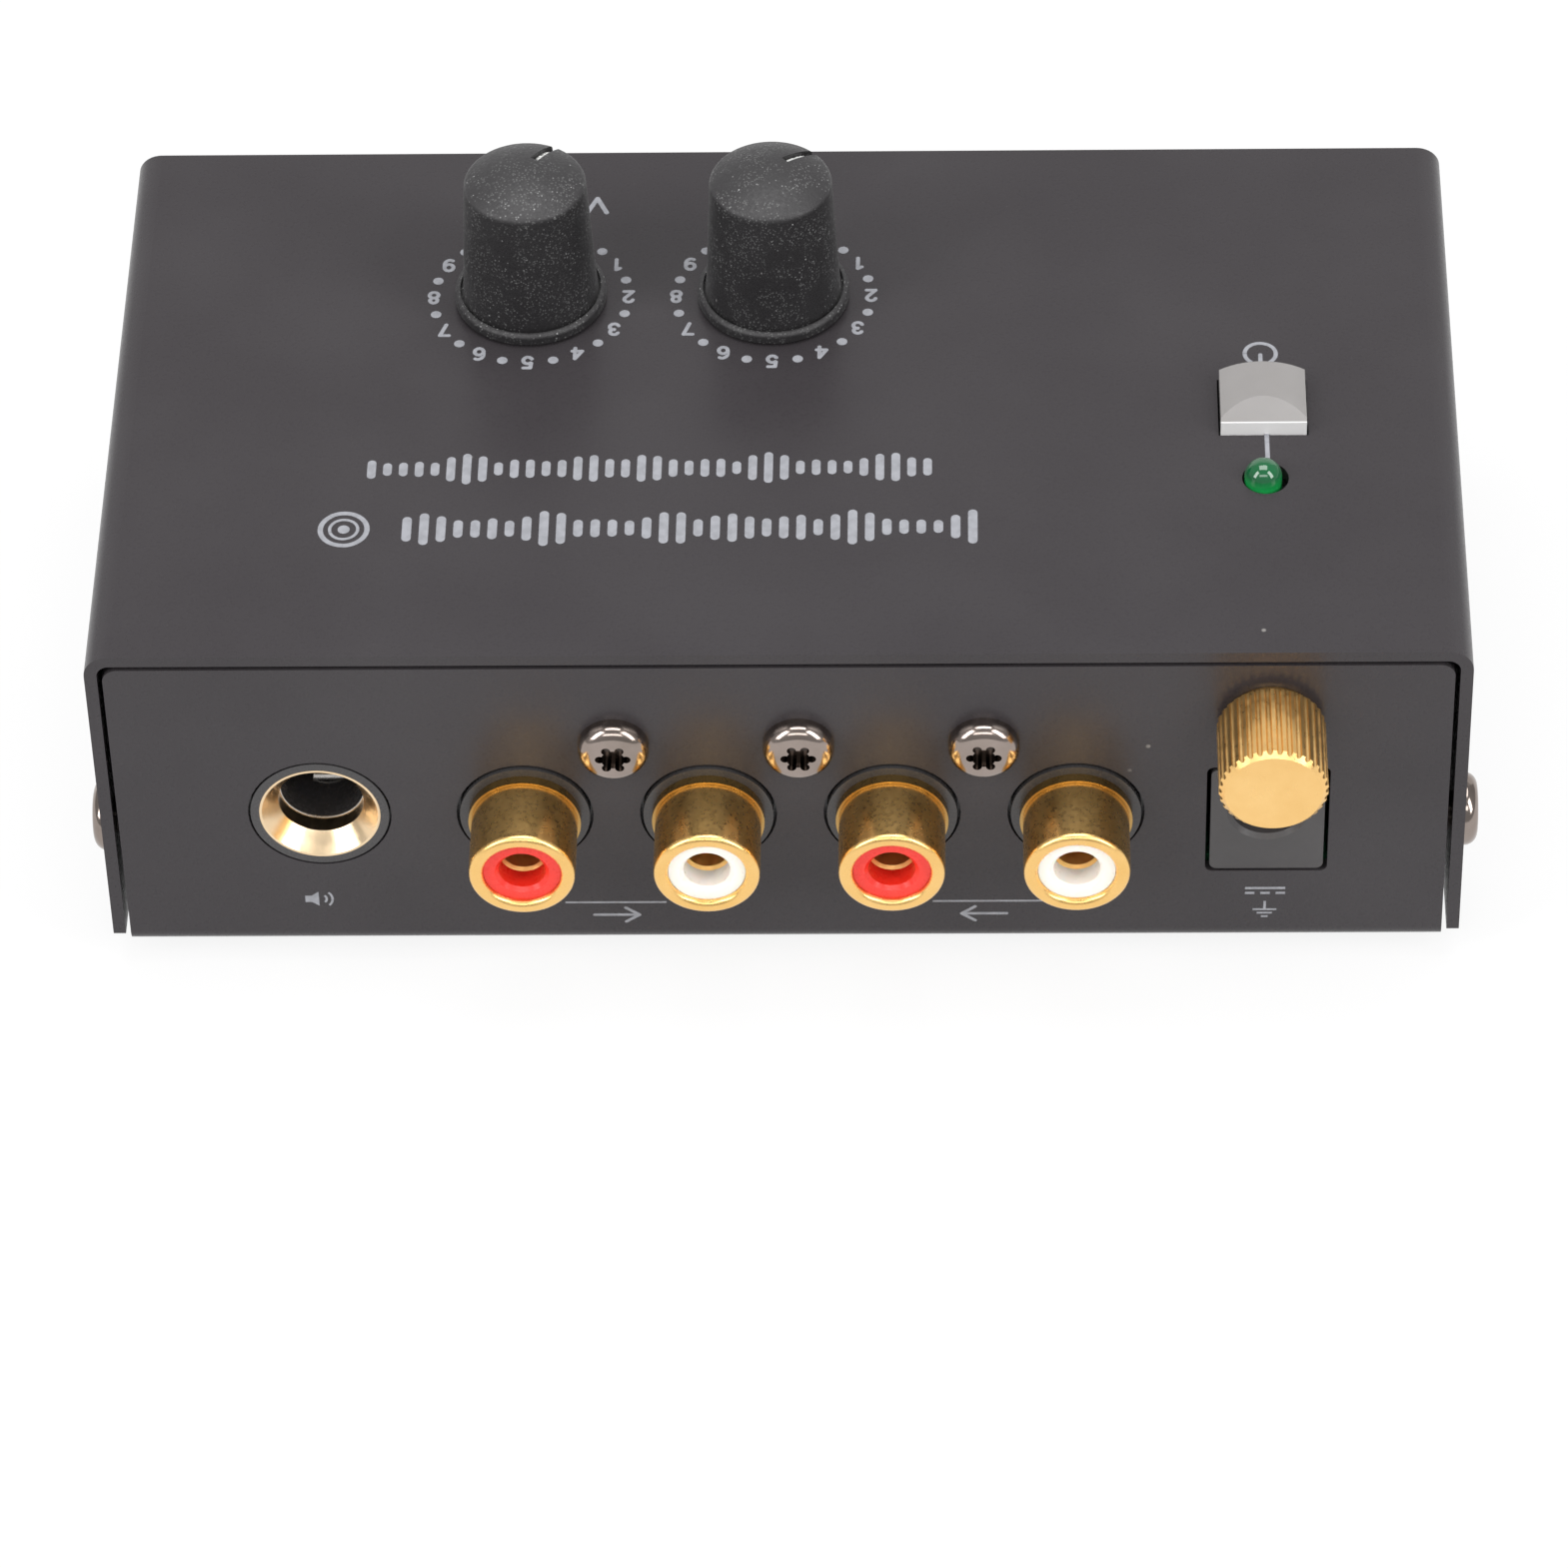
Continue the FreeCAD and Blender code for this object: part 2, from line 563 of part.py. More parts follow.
def top_cover():
    body = new_body("top_cover", ("0", "front_face", "case_bottom"))
    sketch = new_sketch(body, "XZ_Plane")
    half, inner = "case_width/2", "case_width/2 - wall"
    outline(sketch, [
        ("-(" + half + ")", "cover_lift"), ("-(" + half + ")", "case_height"), (half, "case_height"),
        (half, "cover_lift"), (inner, "cover_lift"), (inner, "case_height - wall"),
        ("-(" + inner + ")", "case_height - wall"), ("-(" + inner + ")", "cover_lift")])
    pad(body, sketch, "case_depth", reverse=True)
    soften(body, "Fillet", "cover_bend", straight_edge("y", [
        {"x": s + "(" + half + ")", "z": "case_height"} for s in ("", "-")]))
    soften(body, "Fillet", "cover_bend - wall", straight_edge("y", [
        {"x": s + "(" + inner + ")", "z": "case_height - wall"} for s in ("", "-")]))
    openings = new_sketch(body, "XY_Plane")
    for spot in ("level_place", "volume_place"):
        circle(openings, spot, "knob_back", "bushing_radius + shaft_hole_gap")
    circle(openings, "column_place", "lamp_back", "lamp_radius + lamp_hole_gap")
    half_slot = "(button_width/2 + button_gap)"
    long_slot = "(button_length/2 + button_gap)"
    rectangle(openings, "column_place - " + half_slot, "column_place + " + half_slot,
              "button_back - " + long_slot, "button_back + " + long_slot)
    pocket(body, openings)
    sides = new_sketch(body, "YZ_Plane")
    for along in ("side_screw_back", "case_depth - side_screw_back"):
        circle(sides, along, "side_screw_up", "side_shank_radius + screw_pass")
    pocket(body, sides)
    return keep("top_cover", body)


def bottom_chassis():
    body = new_body("bottom_chassis", ("0", "front_face", "case_bottom"))
    section = new_sketch(body, "YZ_Plane")
    outline(section, [
        ("0", "0"), ("case_depth", "0"), ("case_depth", "panel_top"),
        ("case_depth - wall", "panel_top"), ("case_depth - wall", "wall"), ("wall", "wall"),
        ("wall", "panel_top"), ("0", "panel_top")])
    pad(body, section, "2*panel_half", middle=True)
    soften(body, "Fillet", "chassis_bend", straight_edge("x", [
        {"y": "0", "z": "0"}, {"y": "case_depth", "z": "0"}]))
    soften(body, "Fillet", "chassis_bend - wall", straight_edge("x", [
        {"y": "wall", "z": "wall"}, {"y": "case_depth - wall", "z": "wall"}]))
    soften(body, "Fillet", "panel_corner", straight_edge("y", [
        {"x": s + "panel_half", "z": "panel_top"} for s in ("", "-")]))
    flanges = new_sketch(body, "XY_Plane")
    for left, right in (("panel_half - wall", "panel_half"), ("-panel_half", "wall - panel_half")):
        rectangle(flanges, left, right, "tab_inset", "case_depth - tab_inset")
    pad(body, flanges, "tab_height")
    pocket(body, panel_openings(body), "2*wall")
    left, right, low, high = inlet_opening()
    soften(body, "Fillet", "inlet_corner", straight_edge("y", [
        {"x": across, "z": level} for across in (left, right) for level in (low, high)]))
    sides = new_sketch(body, "YZ_Plane")
    for along in ("side_screw_back", "case_depth - side_screw_back"):
        circle(sides, along, "side_screw_up", "side_shank_radius + screw_clearance")
    pocket(body, sides)
    return keep("bottom_chassis", body)


def panel_openings(body):
    """Every hole of the socket panel, drawn on its front face."""
    sketch = new_sketch(body, "XZ_Plane")
    for n in range(4):
        circle(sketch, "phono_first + %d*phono_pitch" % n, "phono_up", "phono_hole_radius")
    for n in range(3):
        circle(sketch, "phono_first + %d.5*phono_pitch" % n, "panel_screw_up",
               "panel_shank_radius + screw_pass")
    circle(sketch, "jack_place", "jack_up", "jack_nose_radius + jack_nose_gap")
    circle(sketch, "column_place", "ground_up", "stud_radius + screw_pass")
    left, right, low, high = inlet_opening()
    rectangle(sketch, left, right, low, high)
    return sketch


def inlet_opening():
    """The sides, foot and head of the power inlet's opening in the socket panel."""
    half = "(inlet_width/2 + inlet_cut_side)"
    low = "board_top - case_bottom - inlet_cut_top"
    high = low + " + inlet_height + 2*inlet_cut_top"
    return "column_place - " + half, "column_place + " + half, low, high


def pan_screw(name, head, at, turn, star=True):
    """A pan-head screw whose head stands outwards from the seat at its origin."""
    radius, height = head + "_head_radius", head + "_head_height"
    shank, length = head + "_shank_radius", head + "_shank_length"
    body = new_body(name, at, turn)
    revolve(body, [("0", "-" + length), (shank, "-" + length), (shank, "0"), (radius, "0"),
                   (radius, height), ("0", height)])
    soften(body, "Fillet", height + "*head_round", ring_edge(radius, height))
    hub = new_sketch(body, "XY_Plane", height)
    circle(hub, "0", "0", radius + "*hub_share")
    pocket(body, hub, height + "*recess_share")
    if star:
        lobe = new_sketch(body, "XY_Plane", height)
        circle(lobe, radius + "*lobe_place", "0", radius + "*lobe_share")
        first = pocket(body, lobe, height + "*recess_share")
        pattern = body.newObject("PartDesign::PolarPattern", name + "_star")
        pattern.Originals = [first]
        pattern.Axis = (lobe, ["N_Axis"])
        pattern.Angle = 360
        pattern.Occurrences = 6
        body.Tip = pattern
    return body


def side_screws():
    screws = []
    for side, across in (("left", "-case_width/2"), ("right", "case_width/2")):
        for along in ("front_face + side_screw_back", "back_face - side_screw_back"):
            name = "side_screw_%d" % (len(screws) + 1)
            at = (across, along, "case_bottom + side_screw_up")
            screws.append(pan_screw(name, "side", at, side))
    return keep("side_screws", group("side_screws", screws))


def rubber_feet():
    feet = []
    for across in ("-(case_width/2 - foot_inset)", "case_width/2 - foot_inset"):
        for along in ("front_face + foot_inset", "back_face - foot_inset"):
            at = (across, along, "0")
            feet.append(rod("foot_%d" % (len(feet) + 1), "foot_radius", "foot_height", at))
    return keep("rubber_feet", group("rubber_feet", feet))


# Circuit board and its mounting

def standoff_spots():
    return [(side + "standoff_half", along) for side in ("-", "")
            for along in ("standoff_near", "standoff_far")]


def board_standoffs():
    posts = [tube("standoff_%d" % n, "standoff_radius", "board_shank_radius + screw_clearance",
                  "standoff_height", (x, y, "case_bottom + wall"))
             for n, (x, y) in enumerate(standoff_spots(), start=1)]
    return keep("board_standoffs", group("board_standoffs", posts))


def board_screws():
    screws = [pan_screw("board_screw_%d" % n, "board", (x, y, "board_top"), "up", star=False)
              for n, (x, y) in enumerate(standoff_spots(), start=1)]
    return keep("board_screws", group("board_screws", screws))


def circuit_board():
    body = new_body("circuit_board", ("0", "0", "board_under"))
    edge = new_sketch(body, "XY_Plane")
    rectangle(edge, "-board_half", "board_half", "board_front", "board_front + board_length")
    pad(body, edge, "board_thick")
    holes = new_sketch(body, "XY_Plane")
    for x, y in standoff_spots():
        circle(holes, x, y, "board_shank_radius + screw_pass")
    pocket(body, holes)
    return keep("circuit_board", body)


# Phono sockets

PHONO_NAMES = ("output_right", "output_left", "input_right", "input_left")


def phono_block():
    """The black housing of the four sockets, with a collar round each."""
    body = new_body("phono_socket_block", ("0", "front_face", "phono_axis"), "front")
    block = new_sketch(body, "XY_Plane", "-wall")
    rectangle(block, "phono_first - phono_block_side",
              "phono_first + 3*phono_pitch + phono_block_side",
              "board_top - phono_axis", "board_top - phono_axis + phono_block_height")
    pad(body, block, "phono_block_depth", reverse=True)
    collars = new_sketch(body, "XY_Plane", "-wall")
    bores = new_sketch(body, "XY_Plane", "collar_proud")
    for n in range(4):
        across = "phono_first + %d*phono_pitch" % n
        circle(collars, across, "0", "collar_radius")
        circle(bores, across, "0", "shell_radius + press_gap")
    pad(body, collars, "wall + collar_proud")
    pocket(body, bores, "collar_proud + shell_inside")
    screws = new_sketch(body, "XY_Plane", "-wall")
    for n in range(3):
        circle(screws, "phono_first + %d.5*phono_pitch" % n, "panel_screw_up - phono_up",
               "panel_shank_radius + screw_clearance")
    pocket(body, screws, "panel_shank_length")
    return keep("phono_socket_block", body)


def phono_sockets():
    """Shell, insulator and centre contact of each socket, turned about the socket's axis."""
    for n, name in enumerate(PHONO_NAMES):
        at = ("phono_first + %d*phono_pitch" % n, "front_face", "phono_axis")
        phono_shell(name + "_shell", at)
        phono_insulator(name + "_insulator", at)
        phono_contact(name + "_contact", at)


def phono_shell(name, at):
    body = new_body(name, at, "front")
    root = "collar_proud + shell_ring_length"
    ring = "shell_radius + shell_ring"
    revolve(body, [
        ("shell_bore", "-shell_inside"), ("shell_radius", "-shell_inside"),
        ("shell_radius", "collar_proud"), (ring, "collar_proud"), (ring, root),
        ("shell_radius", root), ("shell_radius", "shell_reach"), ("shell_bore", "shell_reach")])
    soften(body, "Fillet", "shell_rim", ring_edge("shell_radius", "shell_reach"))
    soften(body, "Fillet", "shell_rim", ring_edge("shell_bore", "shell_reach"))
    return keep(name, body)


def phono_insulator(name, at):
    body = new_body(name, at, "front")
    front = "shell_reach - insulator_recess"
    bore = "contact_radius + press_gap"
    outside = "shell_bore - press_gap"
    lip = front + " - contact_recess"
    revolve(body, [
        (bore, "-shell_inside"), (outside, "-shell_inside"), (outside, front),
        ("insulator_mouth", front), ("insulator_mouth", lip), (bore, lip)])
    soften(body, "Chamfer", "insulator_bevel", ring_edge("insulator_mouth", front))
    return keep(name, body)


def phono_contact(name, at):
    body = new_body(name, at, "front")
    front = "shell_reach - insulator_recess - contact_recess - press_gap"
    floor = front + " - contact_depth"
    rear = "-shell_inside"
    revolve(body, [
        ("0", rear), ("contact_radius", rear), ("contact_radius", front),
        ("contact_bore", front), ("contact_bore", floor), ("0", floor)])
    soften(body, "Chamfer", "contact_bevel",
           ring_edge("contact_bore", front))
    return keep(name, body)


def phono_screws():
    screws = []
    for n in range(3):
        at = ("phono_first + %d.5*phono_pitch" % n, "front_face", "case_bottom + panel_screw_up")
        screws.append(pan_screw("phono_screw_%d" % (n + 1), "panel", at, "front"))
    return keep("phono_screws", group("phono_screws", screws))


# Output jack for a 6.35 mm plug

def output_jack():
    at = ("jack_place", "front_face", "jack_axis")
    body = new_body("output_jack_housing", at, "front")
    block = new_sketch(body, "XY_Plane", "-wall")
    rectangle(block, "-jack_block_width/2", "jack_block_width/2", "jack_floor", "jack_roof")
    pad(body, block, "jack_block_depth", reverse=True)
    nose = new_sketch(body, "XY_Plane", "-wall")
    circle(nose, "0", "0", "jack_nose_radius")
    pad(body, nose, "wall")
    seat = new_sketch(body, "XY_Plane")
    circle(seat, "0", "0", "ferrule_radius + press_gap")
    pocket(body, seat, "ferrule_length")
    throat = new_sketch(body, "XY_Plane")
    circle(throat, "0", "0", "ferrule_bore")
    pocket(body, throat, "jack_throat")
    cavity = new_sketch(body, "XY_Plane", "-jack_throat")
    circle(cavity, "0", "0", "jack_bore")
    pocket(body, cavity, "jack_cavity - jack_throat")
    slot = new_sketch(body, "YZ_Plane")
    rectangle(slot, "0", "jack_roof + slot_margin",
              "-(tip_spring_back + spring_run + slot_margin)",
              "-(ring_spring_back - slot_margin)")
    feature = pocket(body, slot)
    feature.Type = "Length"
    feature.setExpression("Length", formula("spring_slot"))
    keep("output_jack_housing", body)

    sleeve = new_body("output_jack_ferrule", at, "front")
    revolve(sleeve, [
        ("ferrule_bore", "-ferrule_length"), ("ferrule_radius", "-ferrule_length"),
        ("ferrule_radius", "0"), ("ferrule_mouth", "0"), ("ferrule_bore", "-ferrule_funnel")])
    keep("output_jack_ferrule", sleeve)

    for name, start in (("output_jack_ring_spring", "ring_spring_back"),
                        ("output_jack_tip_spring", "tip_spring_back")):
        jack_spring(name, start, at)


def jack_spring(name, start, at):
    """A bent contact strip: down from the housing's roof to the plug, and back up."""
    body = new_body(name, at, "front")
    strip = new_sketch(body, "YZ_Plane")
    roof, low, thick = "jack_roof", "spring_dip", "spring_thick"
    tail, dip, nose = start, start + " + spring_low", start + " + spring_run"
    outline(strip, [
        (roof, "-(" + tail + ")"), (low + " + spring_rise", "-(" + tail + ")"),
        (low, "-(" + dip + ")"), (low + " + spring_flare", "-(" + nose + ")"),
        (low + " + spring_flare + " + thick, "-(" + nose + ")"),
        (low + " + spring_nose", "-(" + dip + ")"),
        (low + " + spring_rise + " + thick, "-(" + tail + " + " + thick + ")"),
        (roof, "-(" + tail + " + " + thick + ")")])
    pad(body, strip, "spring_width", middle=True)
    return keep(name, body)


# Power inlet

def power_inlet():
    at = ("column_place", "front_face", "inlet_axis")
    body = new_body("power_inlet_housing", at, "front")
    block = new_sketch(body, "XY_Plane")
    rectangle(block, "-inlet_width/2", "inlet_width/2", "-inlet_axis_up",
              "inlet_height - inlet_axis_up")
    pad(body, block, "inlet_depth", reverse=True)
    soften(body, "Fillet", "inlet_corner", straight_edge("z", [
        {"x": side + "inlet_width/2", "y": level} for side in ("", "-")
        for level in ("-inlet_axis_up", "inlet_height - inlet_axis_up")]))
    hole = new_sketch(body, "XY_Plane")
    circle(hole, "0", "0", "inlet_bore")
    pocket(body, hole, "inlet_bore_depth")
    half = "(inlet_spring_width/2 + inlet_spring_gap)"
    deep = "(inlet_bore + inlet_spring_inset + inlet_spring_thick + inlet_spring_gap)"
    long = "(inlet_spring_length + inlet_spring_gap)"
    groove = new_sketch(body, "XY_Plane", long + " - inlet_bore_depth")
    rectangle(groove, "-" + half, half, "-" + deep, "-inlet_bore/2")
    pocket(body, groove, long)
    soften(body, "Chamfer", "inlet_mouth", ring_edge("inlet_bore", "0"))
    keep("power_inlet_housing", body)

    pin = new_body("power_inlet_pin", at, "front")
    revolve(pin, [("0", "-inlet_bore_depth"), ("inlet_pin_radius", "-inlet_bore_depth"),
                  ("inlet_pin_radius", "-inlet_pin_recess"), ("0", "-inlet_pin_recess")])
    soften(pin, "Fillet", "inlet_pin_round", ring_edge("inlet_pin_radius",
                                                            "-inlet_pin_recess"))
    keep("power_inlet_pin", pin)

    strip = new_body("power_inlet_spring", at, "front")
    near = "inlet_bore + inlet_spring_inset"
    flat = new_sketch(strip, "XY_Plane", "-inlet_bore_depth")
    rectangle(flat, "-inlet_spring_width/2", "inlet_spring_width/2",
              "-(" + near + " + inlet_spring_thick)", "-(" + near + ")")
    pad(strip, flat, "inlet_spring_length")
    keep("power_inlet_spring", strip)


# Ground post

def ground_post():
    at = ("column_place", "front_face", "ground_axis")
    stud = new_body("ground_stud", at, "front")
    tip = "nut_face - nut_cap - stud_recess"
    revolve(stud, [("0", "-stud_inside"), ("stud_radius", "-stud_inside"),
                   ("stud_radius", tip), ("0", tip)])
    soften(stud, "Chamfer", "stud_bevel", ring_edge("stud_radius", tip))
    keep("ground_stud", stud)

    washer = tube("ground_washer", "washer_radius", "stud_radius + screw_pass", "washer_thick",
                  ("column_place", "front_face - washer_gap", "ground_axis"), "front")
    keep("ground_washer", washer)
    thumb_nut()

    nut = new_body("ground_inner_nut", ("column_place", "hex_face", "ground_axis"), "back")
    face = new_sketch(nut, "XY_Plane")
    corner = "(hex_flat/cos(30))"
    turns = [("%s*cos(%d)" % (corner, 60 * n + 30), "%s*sin(%d)" % (corner, 60 * n + 30))
             for n in range(6)]
    outline(face, turns)
    pad(nut, face, "hex_thick")
    bore = new_sketch(nut, "XY_Plane")
    circle(bore, "0", "0", "stud_radius + screw_clearance")
    pocket(nut, bore)
    keep("ground_inner_nut", nut)
    ground_lug()
    ground_wire()


def thumb_nut():
    """The thumb nut, with a closed face and straight flutes round it."""
    at = ("column_place", "front_face - washer_thick - 2*washer_gap", "ground_axis")
    nut = new_body("ground_thumb_nut", at, "front")
    bore = "stud_radius + thread_gap"
    floor = "nut_length - nut_cap"
    revolve(nut, [(bore, "0"), ("nut_radius", "0"), ("nut_radius", "nut_length"),
                  ("0", "nut_length"), ("0", floor), (bore, floor)])
    for end, size in (("0", "flute_radius"), ("nut_length", "nut_bevel")):
        soften(nut, "Chamfer", size, ring_edge("nut_radius", end))
    flute = new_sketch(nut, "XY_Plane")
    circle(flute, "nut_radius", "0", "flute_radius")
    first = pocket(nut, flute)
    pattern = nut.newObject("PartDesign::PolarPattern", "ground_thumb_nut_knurl")
    pattern.Originals = [first]
    pattern.Axis = (flute, ["N_Axis"])
    pattern.Angle = 360
    pattern.setExpression("Occurrences", formula("nut_flutes"))
    nut.Tip = pattern
    return keep("ground_thumb_nut", nut)


def ground_lug():
    """A ring terminal under the inner nut, with its tail towards +X."""
    body = new_body("ground_lug", ("column_place", "lug_face", "ground_axis"), "back")
    eye = new_sketch(body, "XY_Plane")
    circle(eye, "0", "0", "lug_radius")
    pad(body, eye, "lug_thick")
    tail = new_sketch(body, "XY_Plane")
    rectangle(tail, "0", "lug_reach + lug_tail_half", "-lug_tail_half", "lug_tail_half")
    pad(body, tail, "lug_thick")
    hole = new_sketch(body, "XY_Plane")
    circle(hole, "0", "0", "stud_radius + screw_clearance")
    pocket(body, hole)
    return keep("ground_lug", body)


def ground_wire():
    """The wire leaves the lug's tail towards the back and bends down to the board."""
    out = rod("ground_wire_start", "wire_radius", "wire_straight",
              ("wire_place", "wire_front", "ground_axis"), "back")
    bend = doc.addObject("Part::Torus", "ground_wire_bend")
    bend.setExpression("Radius1", formula("wire_bend"))
    bend.setExpression("Radius2", formula("wire_radius"))
    bend.Angle3 = 90
    place(bend, ("wire_place", "wire_turn", "ground_axis - wire_bend"))
    bend.Placement.Rotation = App.Rotation(App.Vector(0, 1, 0), App.Vector(0, 0, 1),
                                           App.Vector(1, 0, 0), "ZXY")
    drop = rod("ground_wire_drop", "wire_radius", "ground_axis - wire_bend - board_top",
               ("wire_place", "wire_turn + wire_bend", "board_top"))
    return keep("ground_wire", fuse("ground_wire", [out, bend, drop]))


# Lamp

def indicator_lamp():
    lens = new_body("indicator_lamp", ("lamp_place", "lamp_line", "lamp_base"))
    step = "lamp_flange_thick"
    revolve(lens, [
        ("0", "0"), ("lamp_flange_radius", "0"), ("lamp_flange_radius", step),
        ("lamp_radius", step), ("lamp_radius", "lamp_length", "lamp_length"),
        ("0", "lamp_length + lamp_radius")])
    keep("indicator_lamp", lens)
    keep("lamp_spacer", tube("lamp_spacer", "spacer_radius", "spacer_bore",
                             "lamp_base - board_top", ("lamp_place", "lamp_line", "board_top")))
    leads = [rod("lamp_lead_%s" % side, "lead_radius", "lamp_base - board_top",
                 ("lamp_place %s lead_pitch/2" % sign, "lamp_line", "board_top"))
             for side, sign in (("left", "-"), ("right", "+"))]
    keep("lamp_leads", group("lamp_leads", leads))


# Power button and its switch

def power_button():
    body = new_body("power_button", ("column_place", "button_line", "case_top"))
    arch = new_sketch(body, "XZ_Plane")
    half = "button_width/2"
    outline(arch, [
        ("-" + half, "-button_skirt"), (half, "-button_skirt"),
        (half, "button_shoulder", "0"), ("0", "button_crown", "0"),
        ("-" + half, "button_shoulder")])
    pad(body, arch, "button_length", middle=True)
    ramp = new_sketch(body, "YZ_Plane")
    front = "-(button_length/2)"
    above = "button_crown + button_lip"
    outline(ramp, [
        (front, "button_lip"), (front + " + button_ramp", "button_crown"),
        (front + " + button_ramp", above), (front, above)])
    pocket(body, ramp)
    socket = new_sketch(body, "XY_Plane", "-button_skirt")
    side = "(plunger_side/2 + press_gap)"
    rectangle(socket, "-" + side, side, "-" + side, side)
    pocket(body, socket, "button_socket", reverse=True)
    level = value("button_shoulder")
    length = value("button_length")

    def rear_arch(edge):
        spot = edge.BoundBox
        return spot.ZMin > level - 1e-3 and abs(spot.YMin - length / 2) < 1e-3
    soften(body, "Fillet", "button_round", rear_arch)
    return keep("power_button", body)


def power_switch():
    side = "switch_side"
    at = ("column_place - %s/2" % side, "button_line - %s/2" % side, "board_top")
    case = box("power_switch_case", (side, side, "switch_height"), at)
    hole = "(plunger_side + 2*plunger_gap)"
    well = box("power_switch_well", (hole, hole, "switch_height - switch_floor"),
               ("column_place - %s/2" % hole, "button_line - %s/2" % hole, "switch_cavity"))
    keep("power_switch_body", cut("power_switch_body", case, well))
    stem = box("power_switch_plunger",
               ("plunger_side", "plunger_side", "plunger_top - plunger_under"),
               ("column_place - plunger_side/2", "button_line - plunger_side/2",
                "plunger_under"))
    keep("power_switch_plunger", stem)
    keep("power_switch_spring", tube("power_switch_spring", "return_radius",
                                     "return_radius - return_wire", "return_height",
                                     ("column_place", "button_line", "switch_cavity")))


# Rotary controls

def control(name, across, angle):
    """A rotary control standing on the board, with its knob over the cover."""
    corner = (across + " - pot_width/2", "knob_line - pot_length/2", "board_top")
    case = box(name + "_control_block", ("pot_width", "pot_length", "pot_height"), corner)
    well = rod(name + "_control_well", "shaft_radius + shaft_gap", "shaft_in_pot + shaft_end_gap",
               (across, "knob_line", "shaft_under - shaft_end_gap"))
    keep(name + "_control_case", cut(name + "_control_case", case, well))
    keep(name + "_bushing", tube(name + "_bushing", "bushing_radius", "shaft_radius + shaft_gap",
                                 "bushing_length", (across, "knob_line", "pot_top")))
    shaft = rod(name + "_shaft", "shaft_radius", "case_top + shaft_in_knob - shaft_under",
                (across, "knob_line", "shaft_under"))
    keep(name + "_shaft", shaft)
    knob(name + "_knob", across, angle)


def knob(name, across, angle):
    body = new_body(name, (across, "knob_line", "case_top"))
    skirt_top = "knob_lift + skirt_height"
    bore = "shaft_radius + press_gap"
    roof = "shaft_in_knob + press_gap"
    recess = "knob_lift + knob_recess_depth"
    inner = "knob_foot_radius + knob_groove"
    revolve(body, [
        ("0", roof), (bore, roof), (bore, recess), ("knob_recess_radius", recess),
        ("knob_recess_radius", "knob_lift"), ("skirt_radius", "knob_lift"),
        ("skirt_radius", skirt_top), (inner, skirt_top),
        (inner, skirt_top + " - knob_groove_depth"),
        ("knob_foot_radius", skirt_top + " - knob_groove_depth"),
        ("knob_top_radius", "knob_shoulder", "0"), ("0", "knob_shoulder + knob_crown")])
    soften(body, "Fillet", "knob_round", ring_edge("knob_top_radius", "knob_shoulder"))
    soften(body, "Fillet", "skirt_round", ring_edge("skirt_radius", skirt_top))
    groove = new_sketch(body, "XY_Plane", "knob_shoulder + knob_crown")
    pointer_outline(groove, angle)
    pocket(body, groove, "knob_crown + pointer_depth")
    return keep(name, body)


def pointer_outline(sketch, angle):
    """A narrow rectangle from pointer_start to past the knob's edge, turned from +Y to +X."""
    def spot(along, aside):
        return ("(%s)*sin(%s) + (%s)*cos(%s)" % (along, angle, aside, angle),
                "(%s)*cos(%s) - (%s)*sin(%s)" % (along, angle, aside, angle))
    near, far = "pointer_start", "knob_foot_radius"
    left, right = "-pointer_width/2", "pointer_width/2"
    outline(sketch, [spot(near, left), spot(far, left), spot(far, right), spot(near, right)])


# Parts on the board

def amplifier_chips():
    pieces = []
    for n in range(2):
        across = "chip_first + %d*chip_pitch" % n
        along = "front_face + chip_back"
        body = box("chip_body_%d" % (n + 1), ("chip_length", "chip_width", "chip_height"),
                   (across + " - chip_length/2", along + " - chip_width/2",
                    "board_top + chip_lift"))
        pins = []
        for row, start in (("front", along + " - chip_width/2 - chip_pin_reach"),
                           ("rear", along + " + chip_width/2")):
            for p in range(4):
                x = across + " + (%.1f)*chip_pin_pitch - chip_pin_side/2" % (p - 1.5)
                pins.append(box("chip_%d_%s_pin_%d" % (n + 1, row, p + 1),
                                ("chip_pin_side", "chip_pin_reach",
                                 "chip_pin_top"), (x, start, "board_top")))
        pieces.append(fuse("chip_%d" % (n + 1), [body] + pins))
    return keep("amplifier_chips", group("amplifier_chips", pieces))


def electrolytic_capacitors():
    cans = []
    for n in range(4):
        across = "can_first + %d*can_pitch" % (n % 2)
        along = "front_face + can_back + %d*can_pitch" % (n // 2)
        body = new_body("can_%d" % (n + 1), (across, along, "board_top"))
        neck = "can_radius - can_crimp"
        low, high = "can_crimp_up + can_crimp", "can_crimp_up + can_crimp + can_crimp_band"
        revolve(body, [
            ("0", "0"), ("can_radius", "0"), ("can_radius", "can_crimp_up"), (neck, low),
            (neck, high), ("can_radius", high + " + can_crimp"),
            ("can_radius", "can_height"), ("0", "can_height")])
        soften(body, "Fillet", "can_round", ring_edge("can_radius", "can_height"))
        cans.append(body)
    return keep("electrolytic_capacitors", group("electrolytic_capacitors", cans))


def film_capacitors():
    blocks = []
    for n in range(3):
        along = "front_face + film_back + %d*film_pitch" % n
        blocks.append(box("film_%d" % (n + 1), ("film_length", "film_width", "film_height"),
                          ("film_first - film_length/2", along, "board_top")))
    return keep("film_capacitors", group("film_capacitors", blocks))


